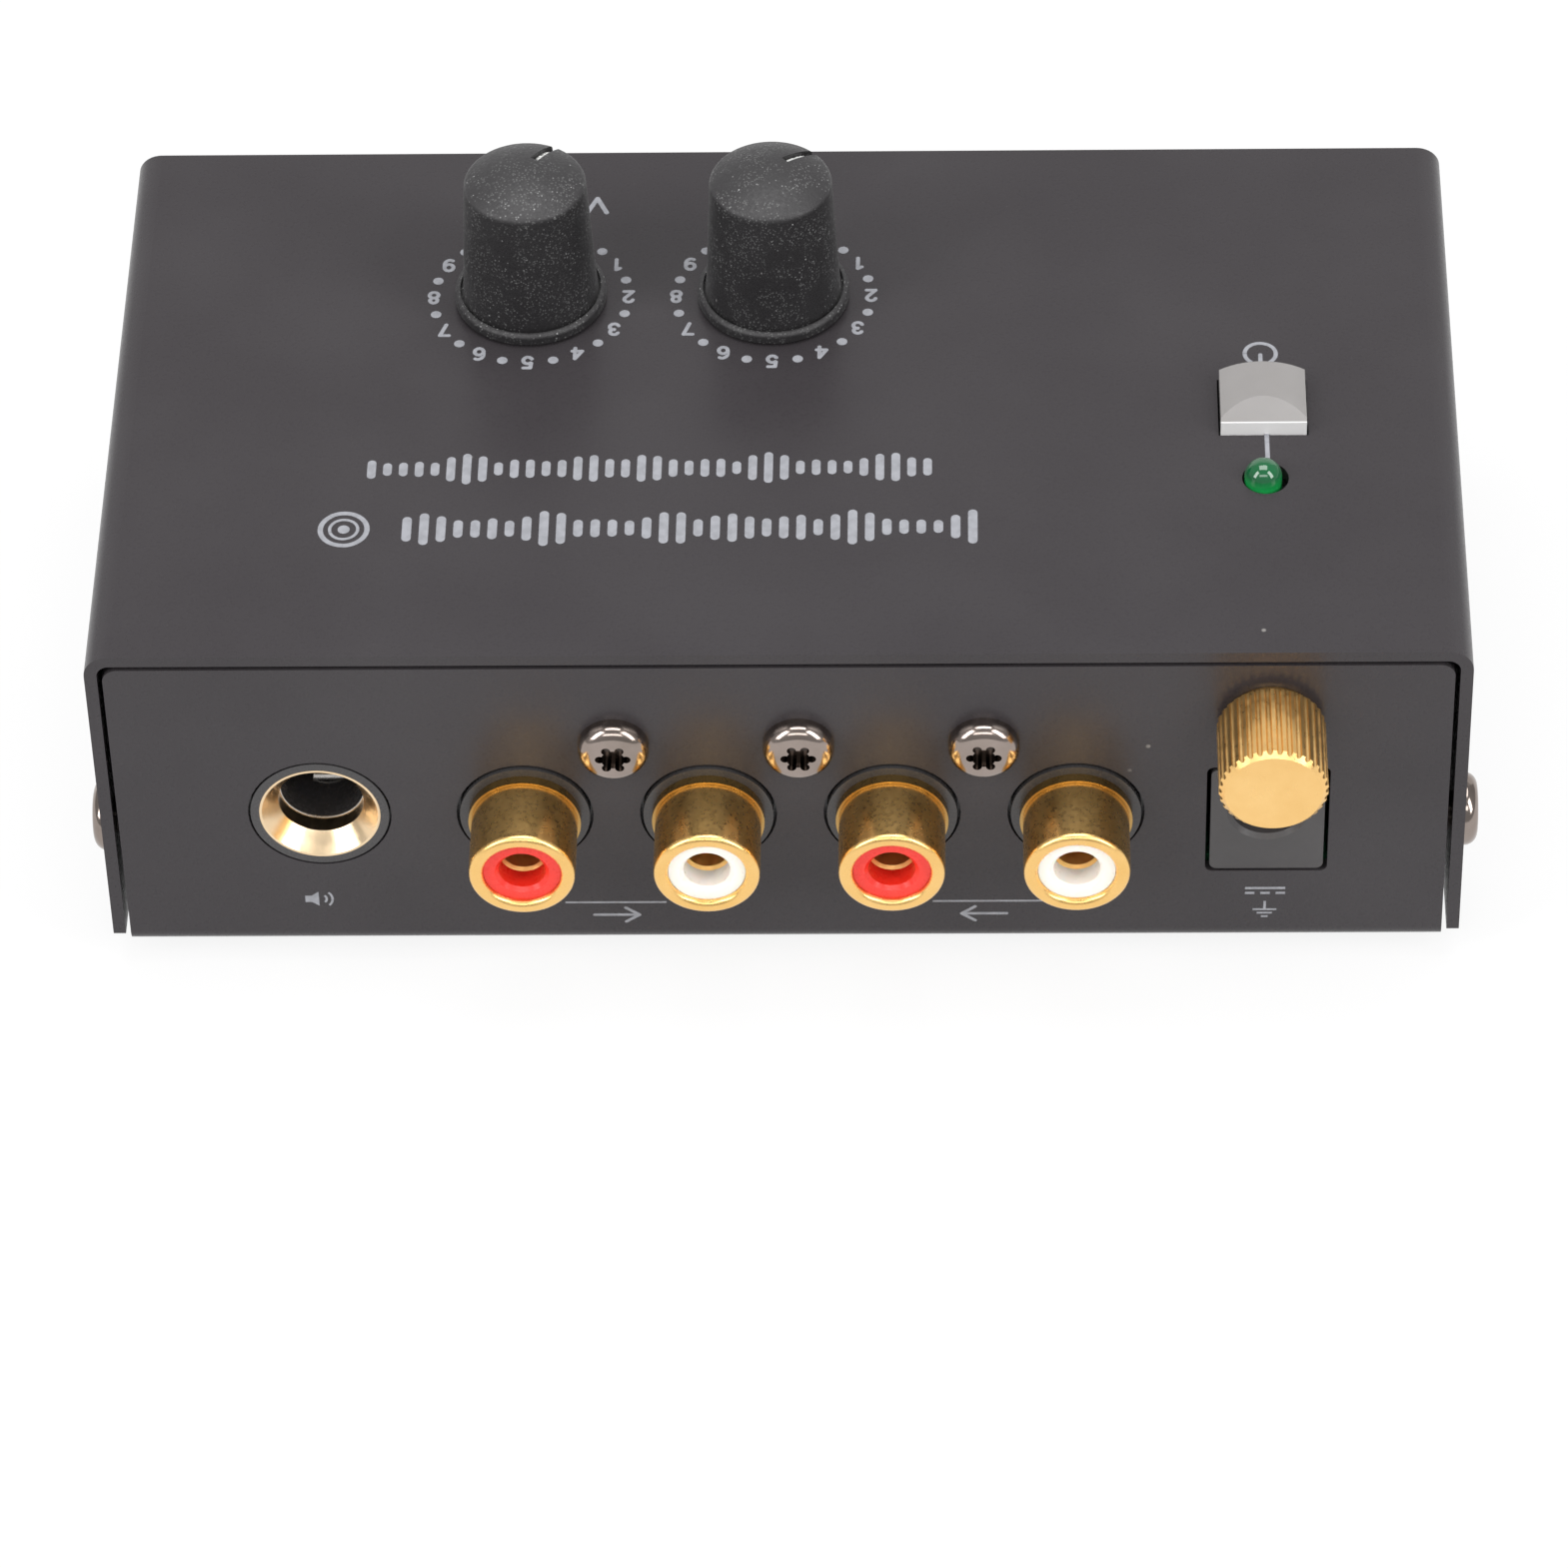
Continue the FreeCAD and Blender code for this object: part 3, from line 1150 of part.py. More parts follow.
def resistors():
    """Resistors lying front to back, each body with a bent lead at both ends."""
    pieces = []
    height = "board_top + resistor_lift + resistor_radius"
    middle = "front_face + resistor_back"
    for n in range(6):
        across = "resistor_first + %d*resistor_pitch" % n
        name = "resistor_%d" % (n + 1)
        solids = [
            rod(name + "_body", "resistor_radius", "resistor_length",
                (across, middle + " - resistor_length/2", height), "back"),
            rod(name + "_wire", "resistor_wire", "resistor_span",
                (across, middle + " - resistor_span/2", height), "back")]
        for end, sign in (("front", "-"), ("rear", "+")):
            solids.append(rod(name + "_" + end, "resistor_wire",
                              "resistor_lift + resistor_radius + resistor_wire",
                              (across, middle + " %s resistor_span/2" % sign, "board_top")))
        pieces.append(fuse(name, solids))
    return keep("resistors", group("resistors", pieces))


def voltage_regulator():
    left = "regulator_place - regulator_width/2"
    near = "front_face + regulator_back"
    low = "board_top + regulator_leg"
    body = box("regulator_body", ("regulator_width", "regulator_thick", "regulator_height"),
               (left, near, low))
    tab = box("regulator_tab_plate",
              ("regulator_width", "regulator_tab_thick", "regulator_height + regulator_tab"),
              (left, near + " + regulator_thick", low))
    legs = [box("regulator_leg_%d" % (n + 1),
                ("regulator_leg_width", "regulator_leg_thick", "regulator_leg_length"),
                ("regulator_place + (%d)*regulator_leg_pitch - regulator_leg_width/2" % (n - 1),
                 near + " + regulator_thick/2", "board_top")) for n in range(3)]
    return keep("voltage_regulator", fuse("voltage_regulator", [body, tab] + legs))


def protection_diode():
    across = "column_place + spacer_radius + diode_gap"
    middle = "front_face + diode_back"
    height = "board_top + resistor_lift + resistor_radius"
    solids = [
        rod("diode_body", "resistor_radius", "diode_length",
            (across, middle + " - diode_length/2", height), "back"),
        rod("diode_wire", "resistor_wire", "resistor_span",
            (across, middle + " - resistor_span/2", height), "back")]
    for end, sign in (("front", "-"), ("rear", "+")):
        solids.append(rod("diode_" + end, "resistor_wire",
                          "resistor_lift + resistor_radius + resistor_wire",
                          (across, middle + " %s resistor_span/2" % sign, "board_top")))
    return keep("protection_diode", fuse("protection_diode", solids))


top_cover()
bottom_chassis()
side_screws()
rubber_feet()
board_standoffs()
circuit_board()
board_screws()
phono_block()
phono_sockets()
phono_screws()
output_jack()
power_inlet()
ground_post()
indicator_lamp()
power_button()
power_switch()
control("level", "level_place", "level_angle")
control("volume", "volume_place", "volume_angle")
amplifier_chips()
electrolytic_capacitors()
film_capacitors()
resistors()
voltage_regulator()
protection_diode()
doc.recompute()

# Check the document, then write each sub-part to its own file
for thing in doc.Objects:
    if "Invalid" in thing.State or "Error" in thing.State:
        raise RuntimeError("%s did not rebuild" % thing.Label)
for node in NODES:
    if node.Shape.isNull() or not node.Shape.isValid() or node.Shape.Volume <= 0:
        raise RuntimeError("%s is not a sound solid" % node.Label)
os.makedirs("parts", exist_ok=True)
for node in NODES:
    node.Shape.exportStep("parts/%s.step" % node.Label)
print("wrote %d sub-parts" % len(NODES))
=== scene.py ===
# Looks of the phono preamp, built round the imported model.
import math

import bpy
from mathutils import Matrix, Vector


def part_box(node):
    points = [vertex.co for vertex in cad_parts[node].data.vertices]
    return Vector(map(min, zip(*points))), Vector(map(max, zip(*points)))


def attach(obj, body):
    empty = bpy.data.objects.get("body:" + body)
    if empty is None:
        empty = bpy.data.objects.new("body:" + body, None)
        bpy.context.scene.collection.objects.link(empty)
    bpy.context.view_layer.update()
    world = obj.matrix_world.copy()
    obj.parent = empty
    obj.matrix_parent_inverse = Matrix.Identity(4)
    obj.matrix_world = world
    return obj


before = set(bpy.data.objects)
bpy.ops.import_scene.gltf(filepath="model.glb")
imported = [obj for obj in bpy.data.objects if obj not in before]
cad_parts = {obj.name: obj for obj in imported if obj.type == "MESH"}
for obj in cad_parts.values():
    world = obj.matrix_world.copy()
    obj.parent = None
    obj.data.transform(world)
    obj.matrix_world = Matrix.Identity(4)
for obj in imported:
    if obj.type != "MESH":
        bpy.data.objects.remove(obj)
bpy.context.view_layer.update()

MM = 0.001
TAU = 2 * math.pi


# Reference places, read from the frame

def corners(node):
    low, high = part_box(node)
    return Vector(low), Vector(high)


COVER_LOW, COVER_HIGH = corners("top_cover")
TOP = COVER_HIGH.z
FRONT = COVER_LOW.y
PANEL_DATUM = 0.4 * MM
BOTTOM = COVER_LOW.z - PANEL_DATUM


def middle(node):
    low, high = corners(node)
    return (low + high) / 2


# Materials

def new_material(name):
    material = bpy.data.materials.new(name)
    material.use_nodes = True
    nodes = material.node_tree.nodes
    return material, nodes, material.node_tree.links, nodes["Principled BSDF"]


def coordinates(nodes, links, scale=(1, 1, 1)):
    place = nodes.new("ShaderNodeTexCoord")
    mapping = nodes.new("ShaderNodeMapping")
    mapping.inputs["Scale"].default_value = scale
    links.new(place.outputs["Object"], mapping.inputs["Vector"])
    return mapping.outputs["Vector"]


def noise(nodes, links, vector, scale, detail=4.0, roughness=0.5):
    texture = nodes.new("ShaderNodeTexNoise")
    texture.inputs["Scale"].default_value = scale
    texture.inputs["Detail"].default_value = detail
    texture.inputs["Roughness"].default_value = roughness
    links.new(vector, texture.inputs["Vector"])
    return texture.outputs["Fac"]


def ramp(nodes, links, factor, stops):
    """A colour ramp from (position, colour) pairs; a plain number is a grey."""
    node = nodes.new("ShaderNodeValToRGB")
    elements = node.color_ramp.elements
    while len(elements) < len(stops):
        elements.new(0.5)
    for element, (position, colour) in zip(elements, stops):
        element.position = position
        grey = isinstance(colour, (int, float))
        element.color = (colour, colour, colour, 1) if grey else (*colour, 1)
    links.new(factor, node.inputs["Fac"])
    return node.outputs["Color"]


def mix(nodes, links, factor, first, second):
    node = nodes.new("ShaderNodeMix")
    node.data_type = "RGBA"
    links.new(factor, node.inputs["Factor"])
    for socket, item in ((node.inputs["A"], first), (node.inputs["B"], second)):
        if isinstance(item, tuple):
            socket.default_value = (*item, 1)
        else:
            links.new(item, socket)
    return node.outputs["Result"]


def bump(nodes, links, shader, height, strength, distance):
    node = nodes.new("ShaderNodeBump")
    node.inputs["Strength"].default_value = strength
    node.inputs["Distance"].default_value = distance
    links.new(height, node.inputs["Height"])
    links.new(node.outputs["Normal"], shader.inputs["Normal"])


def specks(nodes, links, vector, scale, size, seed):
    """Sparse small dots: 1 inside a speck, 0 elsewhere."""
    moved = nodes.new("ShaderNodeVectorMath")
    moved.inputs[1].default_value = (seed, seed * 0.7, seed * 1.3)
    links.new(vector, moved.inputs[0])
    cells = nodes.new("ShaderNodeTexVoronoi")
    cells.inputs["Scale"].default_value = scale
    links.new(moved.outputs["Vector"], cells.inputs["Vector"])
    return ramp(nodes, links, cells.outputs["Distance"], [(0.0, 1), (size, 1), (size * 1.5, 0)])


def case_paint():
    """Dark satin paint with a fine grain, faint clouding and a few dust specks."""
    material, nodes, links, shader = new_material("case_paint")
    vector = coordinates(nodes, links)
    cloud = noise(nodes, links, vector, 60, 3)
    base = ramp(nodes, links, cloud,
                [(0.35, (0.033, 0.0293, 0.032)), (0.65, (0.038, 0.0343, 0.037))])
    dust = specks(nodes, links, vector, 190, 0.028, 3.1)
    few = ramp(nodes, links, noise(nodes, links, vector, 45, 1), [(0.56, 0), (0.60, 1)])
    chosen = calculate(nodes, links, "MULTIPLY", dust, few)
    links.new(mix(nodes, links, chosen, base, (0.20, 0.19, 0.18)), shader.inputs["Base Color"])
    grain = noise(nodes, links, vector, 2600, 3)
    links.new(ramp(nodes, links, grain, [(0.3, 0.25), (0.7, 0.34)]), shader.inputs["Roughness"])
    shader.inputs["Specular IOR Level"].default_value = 0.30
    bump(nodes, links, shader, grain, 0.16, 0.00003)
    return material


# How dark the painted shade is against the plating, and how fully it covers the roots of the phono
# shells.
PAINTED_SHADE_LEVEL = 0.22
ROOT_PAINTED_SHADE_COVER = 0.75


def calculate(nodes, links, operation, first, second, third=None):
    """A maths node; each term is a number or a socket."""
    node = nodes.new("ShaderNodeMath")
    node.operation = operation
    for socket, term in zip(node.inputs, (first, second, third)):
        if isinstance(term, (int, float)):
            socket.default_value = term
        elif term is not None:
            links.new(term, socket)
    return node.outputs[0]


def fade(nodes, links, value, start, stop):
    """0 up to the start, 1 from the stop on."""
    node = nodes.new("ShaderNodeMapRange")
    links.new(value, node.inputs["Value"])
    node.inputs["From Min"].default_value = start
    node.inputs["From Max"].default_value = stop
    return node.outputs["Result"]


def parts_of(nodes, links, vector):
    split = nodes.new("ShaderNodeSeparateXYZ")
    links.new(vector, split.inputs[0])
    return split.outputs


def root_painted_shade(nodes, links, vector):
    """Painted shade at the root of a phono shell, close to the panel."""
    back = parts_of(nodes, links, vector)["Y"]
    near = fade(nodes, links, back, FRONT - 1.25 * MM, FRONT - 0.95 * MM)
    return calculate(nodes, links, "MULTIPLY", near, ROOT_PAINTED_SHADE_COVER)


SCREW_LOW, SCREW_HIGH = corners("phono_screws")
SCREW_RADIUS = (SCREW_HIGH.z - SCREW_LOW.z) / 2
SCREW_PITCH = (SCREW_HIGH.x - SCREW_LOW.x) / 2 - SCREW_RADIUS


def recess_painted_shade(nodes, links, vector):
    """Painted shade down in the star recess of each panel screw."""
    place = parts_of(nodes, links, vector)
    aside = calculate(nodes, links, "SUBTRACT", place["X"], SCREW_LOW.x + SCREW_RADIUS)
    aside = calculate(nodes, links, "WRAP", aside, SCREW_PITCH / 2, -SCREW_PITCH / 2)
    above = calculate(nodes, links, "SUBTRACT", place["Z"], SCREW_LOW.z + SCREW_RADIUS)
    square = calculate(nodes, links, "ADD", calculate(nodes, links, "MULTIPLY", aside, aside),
                       calculate(nodes, links, "MULTIPLY", above, above))
    apart = calculate(nodes, links, "SQRT", square, 0)
    near = calculate(nodes, links, "SUBTRACT", 1.0,
                     fade(nodes, links, apart, SCREW_RADIUS * 0.55, SCREW_RADIUS * 0.6))
    deep = fade(nodes, links, place["Y"], SCREW_LOW.y + 0.25 * MM, SCREW_LOW.y + 0.6 * MM)
    return calculate(nodes, links, "MULTIPLY", near, deep)


def metal(name, colour, dark, rough, grain_scale, stretch=(1, 1, 1), strength=0.1, shade_mask=None):
    """Plated metal: two tones of the plating, fine tooling marks, and painted shade where a shade
    mask is given.
    """
    material, nodes, links, shader = new_material(name)
    vector = coordinates(nodes, links, stretch)
    tone = noise(nodes, links, vector, 400, 4)
    plating = ramp(nodes, links, tone, [(0.3, dark), (0.7, colour)])
    # Painted shade: the plating is darkened where the shade mask says.
    if shade_mask:
        plating = mix(nodes, links, shade_mask(nodes, links, vector), plating,
                      tuple(c * PAINTED_SHADE_LEVEL for c in dark))
    links.new(plating, shader.inputs["Base Color"])
    marks = noise(nodes, links, vector, grain_scale, 3)
    links.new(ramp(nodes, links, marks, [(0.2, rough * 0.8), (0.8, rough * 1.3)]),
              shader.inputs["Roughness"])
    shader.inputs["Metallic"].default_value = 1.0
    bump(nodes, links, shader, marks, strength, 0.00002)
    return material


# Layers of dust on the knobs: scale, size of a speck, seed, spread of the patches, shade
KNOB_DUST = ((4200, 0.24, 7.7, 0.42, 0.075), (2700, 0.14, 2.3, 0.46, 0.17),
             (1250, 0.065, 1.9, 0.47, 0.34))


def knob_rubber():
    """Soft-touch black: fine dust in patches, lint, and a film on the crown that is partly dust and
    partly painted sheen.
    """
    material, nodes, links, shader = new_material("knob_rubber")
    vector = coordinates(nodes, links)
    base = ramp(nodes, links, noise(nodes, links, vector, 250, 5),
                [(0.3, (0.010, 0.009, 0.010)), (0.7, (0.0145, 0.0135, 0.0145))])
    # Painted sheen, partly dust: faces turned upward are lighter, most where the crown slopes into
    # the shoulder.
    facing = nodes.new("ShaderNodeNewGeometry")
    upward = parts_of(nodes, links, facing.outputs["Normal"])["Z"]
    crown = ramp(nodes, links, upward, [(0.30, 0.10), (0.60, 0.80), (0.88, 0.62), (1.0, 0.42)])
    cloudy = ramp(nodes, links, noise(nodes, links, vector, 700, 6, 0.7), [(0.3, 0.55), (0.7, 1.0)])
    shades = mix(nodes, links, calculate(nodes, links, "MULTIPLY", crown, cloudy), base,
                 (0.031, 0.029, 0.031))
    for scale, size, seed, spread, shade in KNOB_DUST:
        dust = specks(nodes, links, vector, scale, size, seed)
        patch = ramp(nodes, links, noise(nodes, links, vector, 260 + 30 * seed, 4),
                     [(spread, 0), (spread + 0.12, 1)])
        shades = mix(nodes, links, calculate(nodes, links, "MULTIPLY", dust, patch), shades,
                     (shade, shade, shade))
    lint = specks(nodes, links, coordinates(nodes, links, (1, 0.7, 0.35)), 650, 0.035, 4.4)
    links.new(mix(nodes, links, lint, shades, (0.22, 0.21, 0.21)), shader.inputs["Base Color"])
    grain = noise(nodes, links, vector, 3500, 3)
    links.new(ramp(nodes, links, grain, [(0.3, 0.46), (0.7, 0.62)]), shader.inputs["Roughness"])
    shader.inputs["Sheen Weight"].default_value = 0.08
    shader.inputs["Sheen Roughness"].default_value = 0.4
    bump(nodes, links, shader, grain, 0.5, 0.00006)
    return material


def plastic(name, colour, shade, rough, grain_scale=1800, strength=0.08, soft=0.0):
    """Moulded plastic with a slight uneven tone and a fine moulding grain."""
    material, nodes, links, shader = new_material(name)
    vector = coordinates(nodes, links)
    links.new(ramp(nodes, links, noise(nodes, links, vector, 180, 4),
                   [(0.3, shade), (0.7, colour)]), shader.inputs["Base Color"])
    grain = noise(nodes, links, vector, grain_scale, 3)
    links.new(ramp(nodes, links, grain, [(0.3, rough * 0.85), (0.7, rough * 1.2)]),
              shader.inputs["Roughness"])
    if soft:
        shader.inputs["Subsurface Weight"].default_value = soft
        shader.inputs["Subsurface Scale"].default_value = 0.001
    bump(nodes, links, shader, grain, strength, 0.00003)
    return material


def lamp_lens():
    """Green tinted epoxy: deep colour with a painted glow towards its foot, and a glossy skin."""
    material, nodes, links, shader = new_material("lamp_lens")
    vector = coordinates(nodes, links)
    deep = ramp(nodes, links, noise(nodes, links, vector, 300, 2),
                [(0.3, (0.001, 0.085, 0.024)), (0.7, (0.002, 0.13, 0.04))])
    # Painted glow: the lens turns lighter green towards its foot.
    height = parts_of(nodes, links, vector)["Z"]
    foot = calculate(nodes, links, "SUBTRACT", 1.0,
                     fade(nodes, links, height, TOP - 0.2 * MM, TOP + 0.8 * MM))
    links.new(mix(nodes, links, foot, deep, (0.02, 0.50, 0.11)), shader.inputs["Base Color"])
    shader.inputs["Roughness"].default_value = 0.06
    shader.inputs["IOR"].default_value = 1.54
    shader.inputs["Transmission Weight"].default_value = 0.2
    shader.inputs["Coat Weight"].default_value = 0.6
    shader.inputs["Coat Roughness"].default_value = 0.03
    return material


BUTTON_FRONT = corners("power_button")[0].y


def button_plastic():
    """Grey moulded plastic, with a painted highlight on the lip at the button's front."""
    material, nodes, links, shader = new_material("button_grey")
    vector = coordinates(nodes, links)
    body = ramp(nodes, links, noise(nodes, links, vector, 180, 4),
                [(0.3, (0.225, 0.215, 0.21)), (0.7, (0.245, 0.235, 0.23))])
    # Painted highlight: the front lip is paler.
    back = parts_of(nodes, links, vector)["Y"]
    lip = calculate(nodes, links, "SUBTRACT", 1.0,
                    fade(nodes, links, back, BUTTON_FRONT + 0.02 * MM, BUTTON_FRONT + 0.12 * MM))
    links.new(mix(nodes, links, lip, body, (0.75, 0.74, 0.74)), shader.inputs["Base Color"])
    grain = noise(nodes, links, vector, 1500, 3)
    links.new(ramp(nodes, links, grain, [(0.3, 0.17), (0.7, 0.24)]), shader.inputs["Roughness"])
    bump(nodes, links, shader, grain, 0.04, 0.00003)
    return material


def print_ink(name, colour):
    """Screen-printed ink, a little thin and uneven."""
    material, nodes, links, shader = new_material(name)
    vector = coordinates(nodes, links)
    thin = tuple(c * 0.82 for c in colour)
    links.new(ramp(nodes, links, noise(nodes, links, vector, 1400, 5),
                   [(0.35, thin), (0.6, colour)]), shader.inputs["Base Color"])
    shader.inputs["Roughness"].default_value = 0.5
    return material


PAINT = case_paint()
GOLD = metal("gold", (0.94, 0.58, 0.22), (0.87, 0.51, 0.17), 0.16, 900)
NUT = metal("nut_gold", (0.95, 0.62, 0.25), (0.89, 0.56, 0.21), 0.30, 1800, strength=0.05)
# The shells get painted shade at their roots.
SHELL = metal("shell_gold", (0.95, 0.61, 0.23), (0.90, 0.56, 0.19), 0.28, 2400, strength=0.02,
              shade_mask=root_painted_shade)
CONTACT = metal("contact_gold", (0.95, 0.62, 0.24), (0.88, 0.54, 0.18), 0.50, 2400, strength=0.04)
PALE_GOLD = metal("pale_gold", (0.90, 0.70, 0.46), (0.84, 0.63, 0.40), 0.22, 900)
NICKEL = metal("nickel", (0.62, 0.60, 0.57), (0.54, 0.52, 0.50), 0.25, 900)
STEEL = metal("plated_steel", (0.60, 0.59, 0.57), (0.48, 0.47, 0.46), 0.28, 700)
# The screw heads get painted shade in their star recesses.
SCREW_STEEL = metal("screw_steel", (0.36, 0.30, 0.27), (0.29, 0.24, 0.21), 0.15, 1500,
                    strength=0.03, shade_mask=recess_painted_shade)
DARK_STEEL = metal("dark_steel", (0.34, 0.29, 0.26), (0.27, 0.225, 0.20), 0.13, 1500, strength=0.03)
KNOB = knob_rubber()
RUBBER = plastic("foot_rubber", (0.020, 0.020, 0.020), (0.014, 0.014, 0.014), 0.75, 2500, 0.4)
BLACK = plastic("black_plastic", (0.016, 0.015, 0.015), (0.011, 0.010, 0.010), 0.36)
SOCKET = plastic("socket_plastic", (0.044, 0.042, 0.043), (0.036, 0.034, 0.035), 0.26, 2400, 0.06)
INLET = plastic("inlet_plastic", (0.050, 0.047, 0.048), (0.042, 0.039, 0.040), 0.40, 2600, 0.15)
WHITE = plastic("white_plastic", (0.88, 0.84, 0.78), (0.82, 0.78, 0.72), 0.30, soft=0.25)
RED = plastic("red_plastic", (0.80, 0.030, 0.016), (0.70, 0.022, 0.012), 0.28, soft=0.10)
GREY = button_plastic()
LENS = lamp_lens()
INK = print_ink("print_ink", (0.28, 0.285, 0.31))
POINTER = print_ink("pointer_white", (0.80, 0.80, 0.78))
GREEN = plastic("board_green", (0.015, 0.12, 0.05), (0.010, 0.09, 0.04), 0.30)
SLEEVE = plastic("capacitor_sleeve", (0.02, 0.03, 0.10), (0.015, 0.02, 0.08), 0.30)
DIPPED = plastic("film_red", (0.40, 0.05, 0.02), (0.32, 0.04, 0.02), 0.30)
LACQUER = plastic("resistor_blue", (0.12, 0.26, 0.42), (0.09, 0.20, 0.34), 0.35)
WIRE = plastic("wire_green", (0.03, 0.22, 0.05), (0.02, 0.17, 0.04), 0.45)

NODE_MATERIALS = {
    "top_cover": PAINT, "bottom_chassis": PAINT, "side_screws": DARK_STEEL, "rubber_feet": RUBBER,
    "board_standoffs": NICKEL, "circuit_board": GREEN, "board_screws": STEEL,
    "phono_socket_block": SOCKET, "phono_screws": SCREW_STEEL, "output_jack_housing": SOCKET,
    "output_jack_ferrule": PALE_GOLD, "output_jack_ring_spring": NICKEL,
    "output_jack_tip_spring": NICKEL, "power_inlet_housing": INLET, "power_inlet_pin": NICKEL,
    "power_inlet_spring": NICKEL, "ground_stud": GOLD, "ground_washer": GOLD,
    "ground_thumb_nut": NUT, "ground_inner_nut": NICKEL, "ground_lug": NICKEL,
    "ground_wire": WIRE, "indicator_lamp": LENS, "lamp_spacer": BLACK, "lamp_leads": NICKEL,
    "power_button": GREY, "power_switch_body": BLACK, "power_switch_plunger": WHITE,
    "power_switch_spring": NICKEL, "amplifier_chips": BLACK, "electrolytic_capacitors": SLEEVE,
    "film_capacitors": DIPPED, "resistors": LACQUER, "voltage_regulator": BLACK,
    "protection_diode": BLACK,
}
for control in ("level", "volume"):
    NODE_MATERIALS[control + "_knob"] = KNOB
    for part in ("_control_case", "_bushing", "_shaft"):
        NODE_MATERIALS[control + part] = NICKEL
for side, insulator in (("right", RED), ("left", WHITE)):
    for use in ("output_", "input_"):
        NODE_MATERIALS[use + side + "_shell"] = SHELL
        NODE_MATERIALS[use + side + "_contact"] = CONTACT
        NODE_MATERIALS[use + side + "_insulator"] = insulator


def dress(obj, material):
    obj.data.materials.clear()
    obj.data.materials.append(material)


SHARP_EDGE = math.radians(28)

for node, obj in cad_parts.items():
    dress(obj, NODE_MATERIALS[node])
    obj.data.set_sharp_from_angle(angle=SHARP_EDGE)


# Printed marks: flat shapes just above the paint, drawn in millimetres

PRINT_LIFT = 0.010
PRINT_STEP = 0.0012
PRINT_LEVELS = 16


def disc(x, y, radius, steps=28):
    return [(x + radius * math.cos(TAU * n / steps), y + radius * math.sin(TAU * n / steps))
            for n in range(steps)]


def bar(x0, y0, x1, y1, width, steps=8):
    """A straight stroke with round ends."""
    heading = math.atan2(y1 - y0, x1 - x0)
    points = []
    for x, y, start in ((x1, y1, heading - math.pi / 2), (x0, y0, heading + math.pi / 2)):
        for n in range(steps + 1):
            angle = start + math.pi * n / steps
            points.append((x + width / 2 * math.cos(angle), y + width / 2 * math.sin(angle)))
    return points


def box_mark(x0, y0, x1, y1):
    return [(x0, y0), (x1, y0), (x1, y1), (x0, y1)]


def ring(x, y, radius, width, start=0.0, stop=360.0, steps=40):
    """Quads along an arc; angles in degrees."""
    spots = []
    for n in range(steps + 1):
        angle = math.radians(start + (stop - start) * n / steps)
        spots.append((math.cos(angle), math.sin(angle)))
    inner, outer = radius - width / 2, radius + width / 2
    quads = []
    for (c0, s0), (c1, s1) in zip(spots, spots[1:]):
        quads.append([(x + inner * c0, y + inner * s0), (x + outer * c0, y + outer * s0),
                      (x + outer * c1, y + outer * s1), (x + inner * c1, y + inner * s1)])
    return quads


def top_spot(x, y, lift=PRINT_LIFT):
    return Vector((x * MM, FRONT + y * MM, TOP + lift * MM))


def panel_spot(x, z, lift=PRINT_LIFT):
    return Vector((x * MM, FRONT - lift * MM, BOTTOM + z * MM))


def print_shapes(name, shapes, spot):
    """Flat shapes as one mesh; each lies a hair above the one before, over sixteen levels that then
    start again, so that neighbouring shapes don't share a plane.
    """
    points, faces = [], []
    for n, shape in enumerate(shapes):
        first = len(points)
        lift = PRINT_LIFT + PRINT_STEP * (n % PRINT_LEVELS)
        points += [spot(x, y, lift) for x, y in shape]
        faces.append(tuple(range(first, first + len(shape))))
    mesh = bpy.data.meshes.new(name)
    mesh.from_pydata(points, [], faces)
    obj = bpy.data.objects.new(name, mesh)
    bpy.context.collection.objects.link(obj)
    dress(obj, INK)
    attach(obj, "case")
    return obj


def stroke(points, width):
    """A line through the points: one round-ended bar a step."""
    shapes = []
    for (x0, y0), (x1, y1) in zip(points, points[1:]):
        shapes.append(bar(x0, y0, x1, y1, width))
    return shapes


def arc(x, y, across, along, start, stop, steps=14):
    """Points of an oval arc; angles in degrees, counted from +X."""
    points = []
    for n in range(steps + 1):
        angle = math.radians(start + (stop - start) * n / steps)
        points.append((x + across * math.cos(angle), y + along * math.sin(angle)))
    return points


FIGURES = {
    "1": [[(-0.20, 0.34), (0.04, 0.5), (0.04, -0.5)]],
    "2": [arc(0, 0.24, 0.27, 0.26, 170, -30) + [(-0.27, -0.5), (0.29, -0.5)]],
    "3": [arc(0, 0.25, 0.25, 0.25, 160, -90), arc(0, -0.23, 0.28, 0.27, 90, -160)],
    "4": [[(0.30, -0.22), (-0.31, -0.22), (0.13, 0.5), (0.13, -0.5)]],
    "5": [[(0.25, 0.5), (-0.18, 0.5), (-0.23, 0.06)] + arc(0, -0.19, 0.28, 0.31, 135, -155)],
    "6": [arc(0, -0.2, 0.28, 0.30, 90, 450), [(-0.28, -0.2)] + arc(0.05, 0.1, 0.33, 0.40, 180, 60)],
    "7": [[(-0.28, 0.5), (0.28, 0.5), (-0.08, -0.5)]],
    "8": [arc(0, 0.26, 0.23, 0.24, 90, 450), arc(0, -0.24, 0.28, 0.26, 90, 450)],
    "9": [arc(0, 0.2, 0.28, 0.30, 90, 450), [(0.28, 0.2)] + arc(-0.05, -0.1, 0.33, 0.40, 0, -120)],
}


def figure(text, x, y, size, width):
    """A plain figure as strokes, read from the back of the box."""
    shapes = []
    for line in FIGURES[text]:
        shapes += stroke([(x - size * across, y - size * along) for across, along in line], width)
    return shapes


FIGURE_SIZE = 1.3
FIGURE_WEIGHT = 0.33
DIAL_RADIUS = 7.93
DIAL_DOT = 0.43


